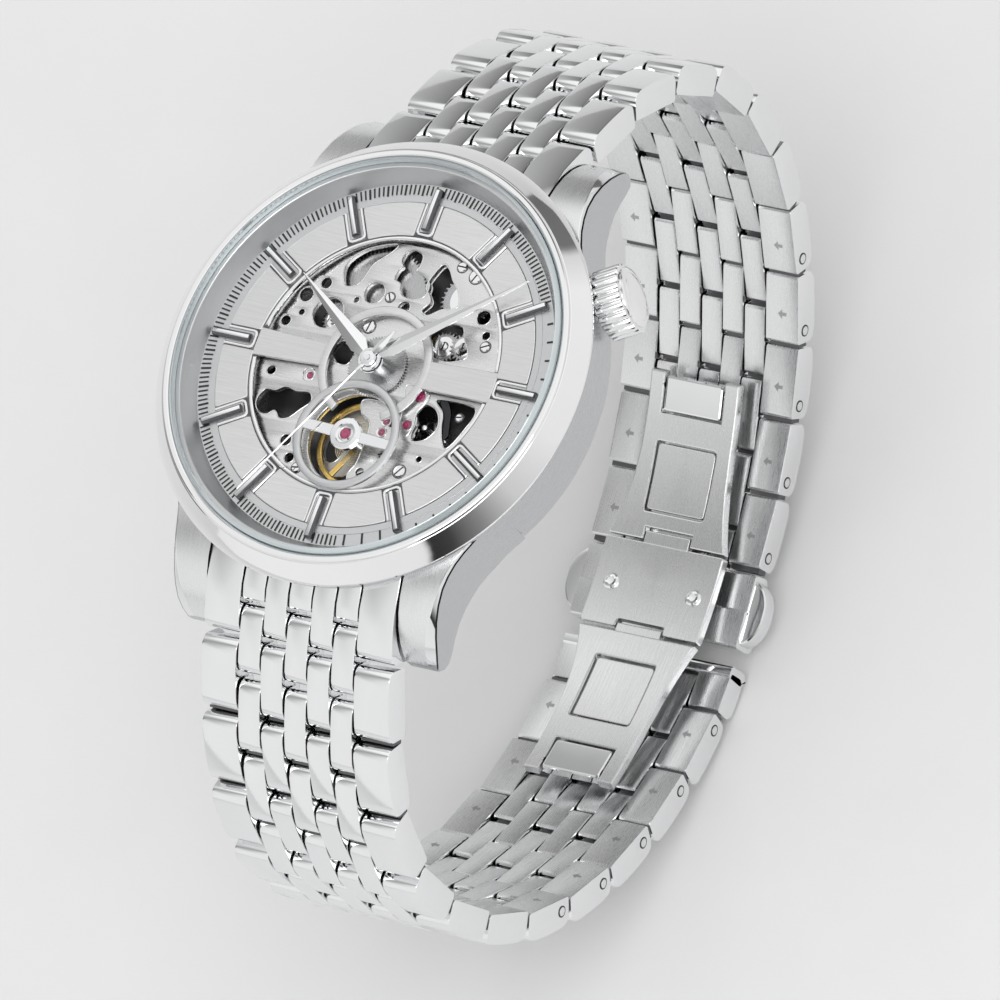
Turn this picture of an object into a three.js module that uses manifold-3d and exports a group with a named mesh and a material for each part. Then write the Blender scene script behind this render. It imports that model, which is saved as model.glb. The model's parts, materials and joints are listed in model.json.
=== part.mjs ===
// Skeleton wristwatch on a closed steel bracelet. Millimetres, +Z out of the dial, +Y to 12 o'clock,
// +X to 3 o'clock. Shapes are drawn with the dial plane at z = 0 and lifted so that the outer face of
// the case back lies at z = 0.
import * as THREE from "three";
import Module from "manifold-3d";

const wasm = await Module();
wasm.setup();

// ---- driving dimensions -------------------------------------------------------------------------
const DIAL_LIFT = 8.6;          // dial plane above the case back's outer face
const BEZEL_R = 21.4;           // sharp outer edge of the bezel
const BEZEL_EDGE_Z = 0.3;
const LIP_R = 19.9;             // outer edge of the bezel's raised lip
const CRYSTAL_R = 19.05;
const CRYSTAL_TOP = 2.6;
const CRYSTAL_UNDER = 1.75;
const CASE_TOP = -0.55;
const CASE_BOTTOM = -6.5;
const CASE_R_TOP = 20.9;
const CASE_R_BOTTOM = 20.2;
const CASE_BORE_R = 17.65;
const DIAL_R = 17.4;
const OPENING_R = 12;           // dial's skeleton opening
const RING_R = 5.6;             // dial's centre ring
const RING_WALL = 0.8;
const BATON_IN = 13;
const BATON_OUT = 17;
const BATON_W = 0.75;
const BALANCE_Y = -6.95;        // balance staff on the 6 o'clock line
const BALANCE_RING_R = 5.2;
const PLATE_R = 13;             // movement radius
const CROWN_ANGLE = 30;         // degrees from 3 o'clock toward 12
const CROWN_R = 3.25;
const CROWN_Z = -3.3;
const CROWN_IN = 21.0;
const CROWN_OUT = 24.5;
const LUG_GAP = 10.1;           // half the width between lugs
const PITCH = 7.14;             // bracelet row pitch
const ROWS = 11;                // rows on each side
const PIVOT_IN_ROW = 1.55;      // from a row's near end to its hinge
const ROW_LENGTH = 6.7;
const PIN_AT = 3.9;             // fixed pin of a row, from its hinge
const WIDTH_AT_CASE = 19.8;
const WIDTH_AT_CLASP = 17.9;
const FIRST_HINGE = [26.6, -6.9];
const LOOP_CENTRE_Z = -27;      // the closed bracelet follows two half ellipses
const LOOP_UPPER = 27;
const LOOP_SIDES = { 12: { reach: 40.3, lower: 33.8 }, 6: { reach: 39.4, lower: 35.6 } };
const CLASP_AXIS = [-1.72, -12.6];      // clasp blades lie on an arc about this line, 3.3 mm inside the rows
const CLASP_ARC_R = 45.6;
const CLASP_TURN = 5.3;         // the clasp's middle, degrees round that arc from its lowest point
const CLASP_CLOSE = { 12: -170, 6: 177 };   // direction of the last piece on each side, degrees
const HANDS = { hour: 304.3, minute: 51.5, second: 209 };   // degrees clockwise from 12

const STEEL = { color: 0xc9cbce, roughness: 0.28, metalness: 1 };
const DARK = { color: 0x55585c, roughness: 0.4, metalness: 1 };
const GOLD = { color: 0xc9a24a, roughness: 0.3, metalness: 1 };
const GLASS = { color: 0xe8f0f4, roughness: 0.05, metalness: 0, transparent: true, opacity: 0.35 };

// ---- solids ------------------------------------------------------------------------------------
const rad = (deg) => deg * Math.PI / 180;

function solid(geometry) {
  const g = geometry.index ? geometry.toNonIndexed() : geometry;
  const p = g.getAttribute("position").array;
  const mesh = new wasm.Mesh({
    numProp: 3,
    vertProperties: Float32Array.from(p, (v) => Math.round(v * 1e5) / 1e5),
    triVerts: Uint32Array.from({ length: p.length / 3 }, (_, i) => i),
  });
  mesh.merge();
  return new wasm.Manifold(mesh);
}

const outline = (points) => new THREE.Shape(points.map(([x, y]) => new THREE.Vector2(x, y)));

function circleAt(x, y, r, n = 12, turn = 0) {
  return Array.from({ length: n }, (_, i) => {
    const a = turn + 2 * Math.PI * i / n;
    return [x + r * Math.cos(a), y + r * Math.sin(a)];
  });
}

// flat plate from an outline in XY, between two heights
function plate(points, z0, z1, holes = []) {
  const shape = outline(points);
  holes.forEach((h) => shape.holes.push(new THREE.Path(h.map(([x, y]) => new THREE.Vector2(x, y)))));
  const g = new THREE.ExtrudeGeometry(shape, { depth: z1 - z0, bevelEnabled: false, curveSegments: 6 });
  return solid(g.translate(0, 0, z0));
}

// bar along X from an outline in YZ
function barX(points, x0, x1) {
  const g = new THREE.ExtrudeGeometry(outline(points), { depth: x1 - x0, bevelEnabled: false });
  const turn = new THREE.Matrix4().makeBasis(
    new THREE.Vector3(0, 1, 0), new THREE.Vector3(0, 0, 1), new THREE.Vector3(1, 0, 0));
  return solid(g.applyMatrix4(turn).translate(x0, 0, 0));
}

// body of revolution about Z from a closed (r, z) outline
function turned(points, segments = 48) {
  const closed = [...points, points[0]].map(([r, z]) => new THREE.Vector2(r, z));
  const g = new THREE.LatheGeometry(closed, segments);
  g.rotateX(Math.PI / 2);
  const m = solid(g);
  return m.volume() < 0 ? solid(flip(g)) : m;
}

function flip(geometry) {
  const g = geometry.toNonIndexed();
  const p = g.getAttribute("position");
  for (let i = 0; i < p.count; i += 3) {
    const a = [p.getX(i), p.getY(i), p.getZ(i)];
    p.setXYZ(i, p.getX(i + 1), p.getY(i + 1), p.getZ(i + 1));
    p.setXYZ(i + 1, ...a);
  }
  return g;
}

const disc = (x, y, r, z0, z1, n = 16) => plate(circleAt(x, y, r, n), z0, z1);
const unite = (parts) => parts.reduce((a, b) => a.add(b));
const spin = (m, deg) => m.rotate([0, 0, deg]);

const root = new THREE.Group();
root.name = "skeleton_wristwatch";

function emit(name, manifold, look = STEEL) {
  const lifted = manifold.translate([0, 0, DIAL_LIFT]);
  const mesh = lifted.getMesh();
  const n = mesh.numProp;
  const g = new THREE.BufferGeometry();
  const xyz = new Float32Array(mesh.vertProperties.length / n * 3);
  for (let i = 0; i < xyz.length / 3; i += 1) {
    for (let k = 0; k < 3; k += 1) {
      xyz[3 * i + k] = mesh.vertProperties[n * i + k];
    }
  }
  g.setAttribute("position", new THREE.BufferAttribute(xyz, 3));
  g.setIndex(new THREE.BufferAttribute(Uint32Array.from(mesh.triVerts), 1));
  g.computeVertexNormals();
  const node = new THREE.Mesh(g, new THREE.MeshStandardMaterial(look));
  node.name = name;
  root.add(node);
}

// ---- bracelet path -----------------------------------------------------------------------------
// Hinge points of one side, from the case to the clasp, in (distance from the case axis, z).
function hingePoints({ reach, lower }) {
  const at = (t) => [
    reach * Math.cos(t),
    LOOP_CENTRE_Z + (Math.sin(t) > 0 ? LOOP_UPPER : lower) * Math.sin(t),
  ];
  const points = [FIRST_HINGE];
  let t = Math.acos(FIRST_HINGE[0] / reach);
  for (let i = 0; i < ROWS; i += 1) {
    const last = points[points.length - 1];
    let far = t - 0.6;
    let near = t;
    for (let step = 0; step < 40; step += 1) {
      const mid = (far + near) / 2;
      const [y, z] = at(mid);
      if (Math.hypot(y - last[0], z - last[1]) > PITCH) {
        far = mid;
      } else {
        near = mid;
      }
    }
    t = (far + near) / 2;
    points.push(at(t));
  }
  return points;
}

// Frame at a hinge: u runs along the row, v points away from the wrist.
function frameAt(origin, direction, side) {
  const sign = side === 12 ? 1 : -1;
  const length = Math.hypot(...direction);
  const [dy, dz] = direction.map((c) => c / length);
  return ([u, v]) => [sign * (origin[0] + u * dy - v * dz), origin[1] + u * dz + v * dy];
}

const widthAt = (row) => WIDTH_AT_CASE + (WIDTH_AT_CLASP - WIDTH_AT_CASE) * Math.min(row, ROWS) / ROWS;

// x limits of the seven columns
function columns(width) {
  const outer = 0.19 * width;
  const inner = (width - 2 * outer) / 5;
  const edges = [-width / 2, -width / 2 + outer];
  for (let i = 1; i <= 5; i += 1) {
    edges.push(-width / 2 + outer + i * inner);
  }
  edges.push(width / 2);
  return edges.slice(0, -1).map((e, i) => [e + (i ? 0.07 : 0), edges[i + 1] - (i < 6 ? 0.07 : 0)]);
}

const OUTER_PLATE = [[0.2, -1.4], [6.5, -1.4], [ROW_LENGTH, 0.8], [5.7, 1.5], [1.0, 1.5], [0, 0.8]];
const INNER_PLATE = [[0.25, -1.3], [6.45, -1.3], [ROW_LENGTH, 0.8], [5.7, 1.45], [1.0, 1.45], [0, 0.8]];
const SPLIT_U = 2.02;           // near end of a row's second set of plates, from its hinge

const hexagon = (u, v, r) => circleAt(u, v, r, 6);

function rowBody(place, width, nextWidth) {
  const outerCols = columns(width);
  const innerCols = columns(nextWidth);
  const shifted = (points, du) => points.map(([u, v]) => place([u + du, v]));
  const parts = [0, 2, 4, 6].map((c) => barX(shifted(OUTER_PLATE, -PIVOT_IN_ROW), ...outerCols[c]));
  [1, 3, 5].forEach((c) => parts.push(barX(shifted(INNER_PLATE, SPLIT_U), ...innerCols[c])));
  const halfPin = width / 2 - 1.2;
  parts.push(barX(circleAt(PIN_AT, 0, 0.7, 4).map(place), -halfPin, halfPin));
  parts.push(barX(hexagon(PITCH, 0, 0.5).map(place), innerCols[1][0] - 1, innerCols[1][0] + 0.5));
  parts.push(barX(hexagon(PITCH, 0, 0.5).map(place), innerCols[5][1] - 0.5, innerCols[5][1] + 1));
  return unite(parts).subtract(pivotBores(place, width));
}

// blind bores in the two outer plates for the previous row's stub pins
function pivotBores(place, width) {
  const cols = columns(width);
  const bore = hexagon(0, 0, 0.62).map(place);
  return barX(bore, cols[0][1] - 1.25, cols[0][1] + 0.3).add(barX(bore, cols[6][0] - 0.3, cols[6][0] + 1.25));
}

const paths = { 12: hingePoints(LOOP_SIDES[12]), 6: hingePoints(LOOP_SIDES[6]) };
const lastFrames = {};

for (const side of [12, 6]) {
  const path = paths[side];
  for (let i = 0; i < ROWS; i += 1) {
    const direction = [path[i + 1][0] - path[i][0], path[i + 1][1] - path[i][1]];
    const place = frameAt(path[i], direction, side);
    const number = String(i + 1).padStart(2, "0");
    emit(`row_${side}_${number}`, rowBody(place, widthAt(i), widthAt(i + 1)));
  }
  const end = path[ROWS];
  const inward = rad(CLASP_CLOSE[side]);
  lastFrames[side] = frameAt(end, [Math.cos(inward), Math.sin(inward)], side);
}

// ---- end links ---------------------------------------------------------------------------------
function endLink(side) {
  const place = frameAt(FIRST_HINGE, [Math.cos(rad(-31)), Math.sin(rad(-31))], side);
  const cols = columns(WIDTH_AT_CASE);
  const sign = side === 12 ? 1 : -1;
  const y0 = 17.2;
  const world = (points) => points.map(([y, z]) => [sign * y, z]);
  const top = place([-2.0, 1.2]);
  const mid = place([-5.6, 1.5]);
  const tail = place([-2.0, -1.3]);
  const longer = [[sign * y0, -0.62], mid, top, place([-2.0, -0.6]), tail,
    ...world([[y0 + 4.2, -6.1], [y0, -5.2]])];
  const shorter = [[sign * y0, -0.62], mid, place([-5.35, 0.9]), place([-5.35, -1.3]),
    ...world([[y0 + 3.2, -5.6], [y0, -5.2]])];
  const parts = [0, 2, 4, 6].map((c) => barX(longer, cols[c][0], cols[c][1]));
  parts.push(barX(shorter, cols[0][0] + 0.4, cols[6][1] - 0.4));
  const shifted = INNER_PLATE.map(([u, v]) => place([u * 0.97 - 5.02, v]));
  [1, 3, 5].forEach((c) => parts.push(barX(shifted, ...cols[c])));
  parts.push(barX(hexagon(-3.3, 0, 0.6).map(place), -9, 9));
  parts.push(barX(hexagon(0, 0, 0.5).map(place), cols[1][0] - 1, cols[1][0] + 0.5));
  parts.push(barX(hexagon(0, 0, 0.5).map(place), cols[5][1] - 0.5, cols[5][1] + 1));
  const springBar = barX(circleAt(sign * 21.0, -4.3, 0.45, 8), -LUG_GAP - 1.2, LUG_GAP + 1.2);
  const caseRoom = disc(0, 0, CASE_R_TOP + 0.08, -9, -0.3, 60);
  return unite(parts).subtract(caseRoom).add(springBar);
}
emit("end_link_12", endLink(12));
emit("end_link_6", endLink(6));

// ---- case --------------------------------------------------------------------------------------
const LUG_SIDE = [[13, -0.75], [18.4, -0.9], [21.2, -1.9], [23.1, -3.5], [24.2, -5.4], [24.4, -7.0],
  [23.8, -7.9], [22.5, -7.7], [20.2, -6.6], [13, -6.4]];
const LUG_PLAN = [[LUG_GAP, 11.5], [17.0, 11.5], [16.2, 13.1], [15.4, 14.6], [14.8, 16], [14.35, 17.6],
  [14.05, 19.4], [13.9, 21.5], [13.8, 23.4], [13.3, 24.6], [LUG_GAP, 24.6]];

function caseMiddle() {
  const wall = turned([[CASE_BORE_R, CASE_BOTTOM], [CASE_R_BOTTOM - 0.4, CASE_BOTTOM],
    [CASE_R_BOTTOM, CASE_BOTTOM + 0.4], [CASE_R_TOP, CASE_TOP - 0.2], [CASE_R_TOP - 0.2, CASE_TOP],
    [CASE_BORE_R, CASE_TOP]], 54);
  const lugs = [];
  for (const sx of [1, -1]) {
    for (const sy of [1, -1]) {
      const side = barX(LUG_SIDE.map(([y, z]) => [sy * y, z]), sx > 0 ? LUG_GAP : -18, sx > 0 ? 18 : -LUG_GAP);
      const plan = plate(LUG_PLAN.map(([x, y]) => [sx * x, sy * y]), -9, 0);
      const bore = barX(circleAt(sy * 21.0, -4.3, 0.5, 8), sx * LUG_GAP - 1.5, sx * LUG_GAP + 1.5);
      lugs.push(side.intersect(plan).subtract(bore));
    }
  }
  const core = disc(0, 0, CASE_BORE_R, -10, 1, 54);
  const bore = crownBar(1.05, 15, 22, 12);
  const tube = crownBar(1.3, 17.8, 21.9, 12).subtract(crownBar(0.75, 17, 23, 12));
  return unite([wall, ...lugs]).subtract(core).subtract(bore).add(tube);
}

// round bar on the crown's axis
function crownBar(r, from, to, n = 16) {
  return spin(barX(circleAt(0, CROWN_Z, r, n), from, to), CROWN_ANGLE);
}

emit("case_middle", caseMiddle());

emit("bezel", turned([[CRYSTAL_R + 0.03, -0.5], [BEZEL_R - 0.6, -0.5], [BEZEL_R - 0.5, -0.1],
  [BEZEL_R, 0.15], [BEZEL_R, BEZEL_EDGE_Z], [LIP_R, 1.9], [LIP_R - 0.15, 2.1], [LIP_R - 0.6, 2.1],
  [CRYSTAL_R + 0.03, 1.85]], 54));

emit("crystal", turned([[0, CRYSTAL_UNDER], [CRYSTAL_R, CRYSTAL_UNDER], [CRYSTAL_R, 2.25], [CRYSTAL_R - 0.4, CRYSTAL_TOP],
  [0, CRYSTAL_TOP]], 48), GLASS);

emit("minute_ring", turned([[16.2, -0.12], [17.4, -0.12], [18.3, 1.7], [19.0, 1.7], [19.0, -0.48],
  [17.6, -0.48], [17.6, -0.3], [16.2, -0.3]], 42), STEEL);

emit("case_back", turned([[14.2, -DIAL_LIFT], [18.2, -DIAL_LIFT], [19.4, -7.4], [19.4, -6.55],
  [17.6, -6.55], [17.6, -6.1], [16.4, -6.1], [16.4, -7.2], [15.3, -7.2], [15.3, -7.7], [14.2, -7.7]], 36));
emit("back_window", turned([[0, -DIAL_LIFT], [14.15, -DIAL_LIFT], [14.15, -7.66], [15.2, -7.66],
  [15.2, -7.2], [0, -7.2]], 36), GLASS);

emit("movement_holder", turned([[PLATE_R + 0.3, -5.6], [17.5, -5.6], [17.5, -0.6], [PLATE_R + 0.3, -0.6]], 36)
  .subtract(crownBar(0.8, 12, 19, 8)), { color: 0x9a9c9e, roughness: 0.5, metalness: 0.6 });

// crown, stem and the lever that slides with them
function crownBody() {
  const flutes = 18;
  const edge = [];
  for (let i = 0; i < flutes; i += 1) {
    const a = 2 * Math.PI * i / flutes;
    const half = Math.PI / flutes;
    edge.push([CROWN_R, a - 0.55 * half], [CROWN_R, a + 0.55 * half], [CROWN_R - 0.28, a + half]);
  }
  const grip = edge.map(([r, a]) => [r * Math.cos(a), CROWN_Z + r * Math.sin(a)]);
  const body = barX(grip, CROWN_IN, CROWN_OUT - 0.7);
  const cap = barX(circleAt(0, CROWN_Z, CROWN_R - 0.45, 24), CROWN_OUT - 0.8, CROWN_OUT - 0.25);
  const dome = barX(circleAt(0, CROWN_Z, CROWN_R - 1.1, 24), CROWN_OUT - 0.3, CROWN_OUT);
  const recess = barX(circleAt(0, CROWN_Z, 1.45, 12), CROWN_IN - 1, CROWN_IN + 2.2);
  return spin(body.add(cap).add(dome).subtract(recess), CROWN_ANGLE);
}
emit("crown", crownBody());
emit("winding_stem", crownBar(0.45, 9.6, CROWN_IN + 2.15, 8), DARK);
const SETTING_LEVER = [[-0.9, -0.35], [0.2, -0.35], [0.2, 0.35], [-0.4, 0.35], [-0.4, 1.6], [-0.9, 1.6]];
emit("setting_lever", spin(plate(SETTING_LEVER, -2.6, -2.2).translate([11, 0, 0]), CROWN_ANGLE), DARK);

// ---- dial --------------------------------------------------------------------------------------
function sector(r0, r1, a0, a1, z0, z1, n = 5) {
  const points = [];
  for (let i = 0; i <= n; i += 1) {
    const a = rad(a0 + (a1 - a0) * i / n);
    points.push([r1 * Math.cos(a), r1 * Math.sin(a)]);
  }
  for (let i = n; i >= 0; i -= 1) {
    const a = rad(a0 + (a1 - a0) * i / n);
    points.push([r0 * Math.cos(a), r0 * Math.sin(a)]);
  }
  return plate(points, z0, z1);
}

function dialBody() {
  const arms = plate([[-12.4, -1.4], [-5, -1.05], [5, -1.35], [12.4, -1.4], [12.4, 1.5], [5, 1.3], [-5, 1],
    [-12.4, 1.3]], -0.42, 0).subtract(disc(0, 0, RING_R - RING_WALL / 2, -1, 1, 36));
  const rim = turned([[OPENING_R, -0.42], [DIAL_R, -0.42], [DIAL_R, -0.34], [15.9, -0.34], [15.9, -0.1],
    [OPENING_R, -0.1]], 48);
  const centre = turned([[RING_R - RING_WALL, -0.42], [RING_R, -0.42], [RING_R, 0], [RING_R - RING_WALL, 0]], 30);
  const parts = [rim, arms, centre];
  for (let h = 0; h < 12; h += 1) {
    const a = 30 * h;
    parts.push(sector(12.35, 15.6, a + 6.5, a + 23.5, -0.2, 0.05, 3));
    parts.push(spin(plate([[12.6, -1.05], [15.75, -1.05], [15.75, 1.05], [12.6, 1.05]], -0.25, 0), a));
    parts.push(spin(plate([[BATON_IN, -BATON_W / 2], [BATON_OUT, -BATON_W / 2], [BATON_OUT, BATON_W / 2],
      [BATON_IN, BATON_W / 2]], -0.08, 0.5), a));
  }
  return unite(parts).subtract(disc(0, BALANCE_Y, BALANCE_RING_R - 0.4, -1, 1, 30));
}
emit("dial", dialBody());

// ---- hands -------------------------------------------------------------------------------------
function hand(length, base, z, thick, tail, boss) {
  const blade = plate([[-0.25, -tail], [0.25, -tail], [base, 1.2], [0.06, length], [-0.06, length], [-base, 1.2]],
    z, z + thick);
  return blade.add(disc(0, 0, boss, z, z + thick, 20));
}
const pose = (m, clockwise) => spin(m, -clockwise);
const withBore = (m, r) => m.subtract(disc(0, 0, r, -5, 5, 16));

emit("hour_hand", pose(withBore(hand(12, 0.85, 0.72, 0.2, 0.2, 1.25), 0.75), HANDS.hour));
emit("minute_hand", pose(withBore(hand(16.2, 0.75, 1.04, 0.18, 0.2, 1.1), 0.45), HANDS.minute));
emit("seconds_hand", pose(unite([hand(16.4, 0.12, 1.36, 0.12, 0.2, 0.75),
  plate([[0, -3.4], [0.42, -2.2], [0.12, -0.4], [-0.12, -0.4], [-0.42, -2.2]], 1.36, 1.48),
  disc(0, 0, 0.26, -4.3, 1.66, 10)]), HANDS.second));

// ---- movement ----------------------------------------------------------------------------------
function gear(x, y, teeth, tip, root, z0, z1, spokes, rimIn, turnBy = 0) {
  const points = [];
  for (let i = 0; i < teeth; i += 1) {
    const a = turnBy + 2 * Math.PI * i / teeth;
    const w = 2 * Math.PI / teeth;
    points.push([tip, a], [tip, a + 0.3 * w], [root, a + 0.65 * w]);
  }
  const rimPoints = points.map(([r, a]) => [r * Math.cos(a), r * Math.sin(a)]);
  const holes = [];
  const step = 2 * Math.PI / (spokes || 1);
  for (let i = 0; i < spokes; i += 1) {
    const a0 = i * step + 0.16;
    const a1 = (i + 1) * step - 0.16;
    const am = (a0 + a1) / 2;
    const inR = rimIn * 0.35;
    holes.push([[rimIn, a0], [rimIn, (a0 + am) / 2], [rimIn, am], [rimIn, (am + a1) / 2], [rimIn, a1], [inR, am]]
      .map(([r, a]) => [r * Math.cos(a), r * Math.sin(a)]));
  }
  return plate(rimPoints, z0, z1, holes).translate([x, y, 0]);
}
const wheelOnArbor = (wheel, x, y, z0, z1, r = 0.25) => wheel.add(disc(x, y, r, z0, z1, 10));

const BARREL = [-3.2, 6.5];
const THIRD = [3.9, 3.0];
const ESCAPE = [6.2, -4.3];
const PALLET = [4.6, -5.6];

emit("fourth_wheel", gear(0, 0, 30, 2.6, 2.35, -3.2, -2.95, 4, 2.0).subtract(disc(0, 0, 0.3, -5, 0, 10)), GOLD);
emit("cannon_pinion", turned([[0.32, -2.6], [1.6, -2.6], [1.6, -2.3], [0.42, -2.3], [0.42, 1.25], [0.32, 1.25]], 16),
  STEEL);
emit("hour_wheel", turned([[0.5, -0.75], [2.9, -0.75], [2.9, -0.5], [0.72, -0.5], [0.72, 0.95], [0.5, 0.95]], 20),
  STEEL);
emit("third_wheel", wheelOnArbor(gear(...THIRD, 28, 2.2, 1.98, -3.8, -3.55, 4, 1.7), ...THIRD, -4.05, -1.55), GOLD);
emit("escape_wheel", wheelOnArbor(gear(...ESCAPE, 15, 1.8, 1.45, -3.3, -3.1, 4, 1.3), ...ESCAPE, -4.05, -1.55), STEEL);
emit("pallet_fork", unite([plate([[-0.5, -1.5], [-0.1, -1.6], [0.3, -0.25], [3.6, -0.3], [3.6, -0.12], [3.2, 0],
  [3.6, 0.12], [3.6, 0.3], [0.3, 0.25], [-0.1, 1.6], [-0.5, 1.5]], -2.95, -2.75), disc(0, 0, 0.22, -4.05, -1.55, 8)])
  .rotate([0, 0, 196.4]).translate([...PALLET, 0]), DARK);
emit("barrel", gear(...BARREL, 44, 4.9, 4.6, -2.3, -1.9, 0, 0).add(disc(...BARREL, 4.4, -3.9, -2.3, 32)), STEEL);

function balanceWheel() {
  const rim = turned([[3.6, -2.6], [4.1, -2.6], [4.1, -2.2], [3.6, -2.2]], 32);
  const arms = plate([[-3.7, -0.28], [3.7, -0.28], [3.7, 0.28], [-3.7, 0.28]], -2.5, -2.3);
  const staff = disc(0, 0, 0.22, -4.05, -0.45, 10).add(disc(0, 0, 0.7, -2.75, -2.2, 14));
  return rim.add(arms).add(staff).rotate([0, 0, 62]).translate([0, BALANCE_Y, 0]);
}
emit("balance_wheel", balanceWheel(), GOLD);

function hairspring() {
  const points = [];
  const turns = 3;
  for (let i = 0; i <= turns * 14; i += 1) {
    const a = 2 * Math.PI * i / 14;
    const r = 0.8 + 0.45 * i / 14;
    points.push(new THREE.Vector3(r * Math.cos(a), r * Math.sin(a), 0));
  }
  const path = new THREE.CatmullRomCurve3(points);
  const section = outline([[-0.08, -0.05], [0.08, -0.05], [0.08, 0.05], [-0.08, 0.05]]);
  const g = new THREE.ExtrudeGeometry(section, { steps: turns * 14, bevelEnabled: false, extrudePath: path });
  return solid(g).translate([0, BALANCE_Y, -1.95]);
}
emit("hairspring", hairspring(), GOLD);

function balanceBridge() {
  const ring = turned([[BALANCE_RING_R - 0.75, 0.08], [BALANCE_RING_R, 0.08], [BALANCE_RING_R, 0.35],
    [BALANCE_RING_R - 0.15, 0.45], [BALANCE_RING_R - 0.6, 0.45], [BALANCE_RING_R - 0.75, 0.35]], 36);
  const arms = plate([[-4.6, -0.5], [4.6, -0.5], [4.6, 0.5], [-4.6, 0.5]], 0.1, 0.36);
  const hub = turned([[0.3, -0.35], [1.2, -0.35], [1.5, 0.1], [1.5, 0.5], [1.0, 0.6], [0.3, 0.6]], 16);
  const arms2 = arms.subtract(disc(0, 0, 0.9, -1, 1, 16));
  return ring.add(arms2).add(hub).rotate([0, 0, -3]).translate([0, BALANCE_Y, 0]);
}
emit("balance_bridge", balanceBridge());

const PLATE_HOLES = [[-9.84, 5.34, 0.69], [-8.3, 6.76, 0.55], [-9.65, 3.66, 0.35], [-10.9, 2.61, 0.5],
  [-10.45, -2.18, 0.46], [-6.41, -8.27, 0.57], [7.31, -7.51, 0.35], [8.68, 4.93, 0.5]];

const ROUND_WINDOWS = [[-0.8, 10.2, 1.0], [-0.9, 8.9, 0.85], [0.5, 7.9, 1.35], [-3.3, 6.8, 1.05],
  [-7.1, 4.1, 1.4], [-9.6, -4.9, 1.5], [-7.3, -4.9, 1.6], [8.0, 6.8, 0.8], [6.3, -3.9, 1.9], [1.2, -9.2, 1.0]];

function mainPlate() {
  const wall = turned([[12.3, -4.0], [PLATE_R, -4.0], [PLATE_R, -0.6], [12.3, -0.6]], 36);
  let deck = disc(0, 0, 12.5, -1.5, -0.85, 36);
  const cuts = [
    ...PLATE_HOLES.map(([x, y, r]) => disc(x, y, r, -3, 1, 8)),
    ...ROUND_WINDOWS.map(([x, y, r]) => disc(x, y, r, -3, 1, 10)),
    disc(0, 0, 1.75, -3, 1, 20),
    disc(0, BALANCE_Y, 4.35, -3, 1, 32),
    plate([[-6.4, 8.3], [-3.4, 7.9], [-2.5, 11.3], [-4.8, 10.9]], -3, 1),
    plate([[2.4, 10], [3.6, 9.8], [4.6, 7.6], [4.2, 5.4], [2.2, 5.3], [2.9, 7.6]], -3, 1),
    plate([[3.6, 4.9], [5.9, 5.2], [6.6, 2.6], [3.6, 2.4]], -3, 1),
    plate([[6.9, -1.6], [10.9, -1.8], [9.9, -5.9], [8.2, -5.4], [8.3, -3.2]], -3, 1),
  ];
  deck = deck.subtract(unite(cuts));
  return wall.add(deck).subtract(crownBar(0.8, 9, 14, 8));
}
emit("main_plate", mainPlate(), { color: 0xb9bbbe, roughness: 0.35, metalness: 1 });

emit("train_bridge", disc(0, 0, 12.9, -4.9, -4.1, 36).subtract(unite([
  disc(-7.5, -4.5, 2.2, -6, 0, 16), disc(7.6, 5.2, 2.0, -6, 0, 16), disc(0, 9.6, 1.6, -6, 0, 14),
  disc(0, 0, 0.35, -6, 0, 12)])), { color: 0xb0b2b5, roughness: 0.35, metalness: 1 });

emit("rotor", unite([sector(3, 12.6, 180, 360, -5.9, -5.4, 12), sector(10.6, 12.6, 180, 360, -6.6, -5.4, 12),
  disc(0, 0, 3.1, -5.9, -5.4, 20), disc(0, 0, 1.2, -6.7, -4.95, 16)]), STEEL);

// ---- clasp -------------------------------------------------------------------------------------
// Blades follow an arc parallel to the bracelet, on its wrist side; v points to the wrist.
function claspPoint(s, v) {
  const a = rad(CLASP_TURN) + s / CLASP_ARC_R;
  return [CLASP_AXIS[0] + (CLASP_ARC_R - v) * Math.sin(a), CLASP_AXIS[1] - (CLASP_ARC_R - v) * Math.cos(a)];
}
function blade(s0, s1, v0, v1, x0, x1, n = 4) {
  const points = [];
  for (let i = 0; i <= n; i += 1) {
    points.push(claspPoint(s0 + (s1 - s0) * i / n, v0));
  }
  for (let i = n; i >= 0; i -= 1) {
    points.push(claspPoint(s0 + (s1 - s0) * i / n, v1));
  }
  return barX(points, x0, x1);
}

const CENTRE_HALF = 4.2;        // the centre plate ends this far from the clasp's middle
const CENTRE_GAP = 0.1;         // taken off the centre plate where it meets the 6 o'clock frame
const FRAME_FROM = 4.45;        // near end of both frames
const FRAME_TO = 20;
const FRAME_EDGE = [[4, 6.2], [7.5, 5.4], [12, 4.8], [21, 4.7]];    // half width along a frame
const WINDOW = [7.05, 13.6];    // window of a frame
const NOTCH_FROM = 16.2;        // notch at its far end, for the tongue's block
const BLADE_HALF_V = 0.5;       // half thickness of plate and frames
const KNUCKLE_HALF_X = 2.4;
const TONGUE_HALF_X = 3.05;
const WINDOW_HALF_X = 3.2;

// column over an outline seen from above, whichever way round the outline runs
function claspPlan(outline) {
  const column = plate(outline, -70, -40);
  return column.volume() < 0 ? plate([...outline].reverse(), -70, -40) : column;
}

const rivet = (x) => {
  const [y, z] = claspPoint(0, 0.45);
  return disc(x, y, 0.8, z, z + 0.35, 12);
};

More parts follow.
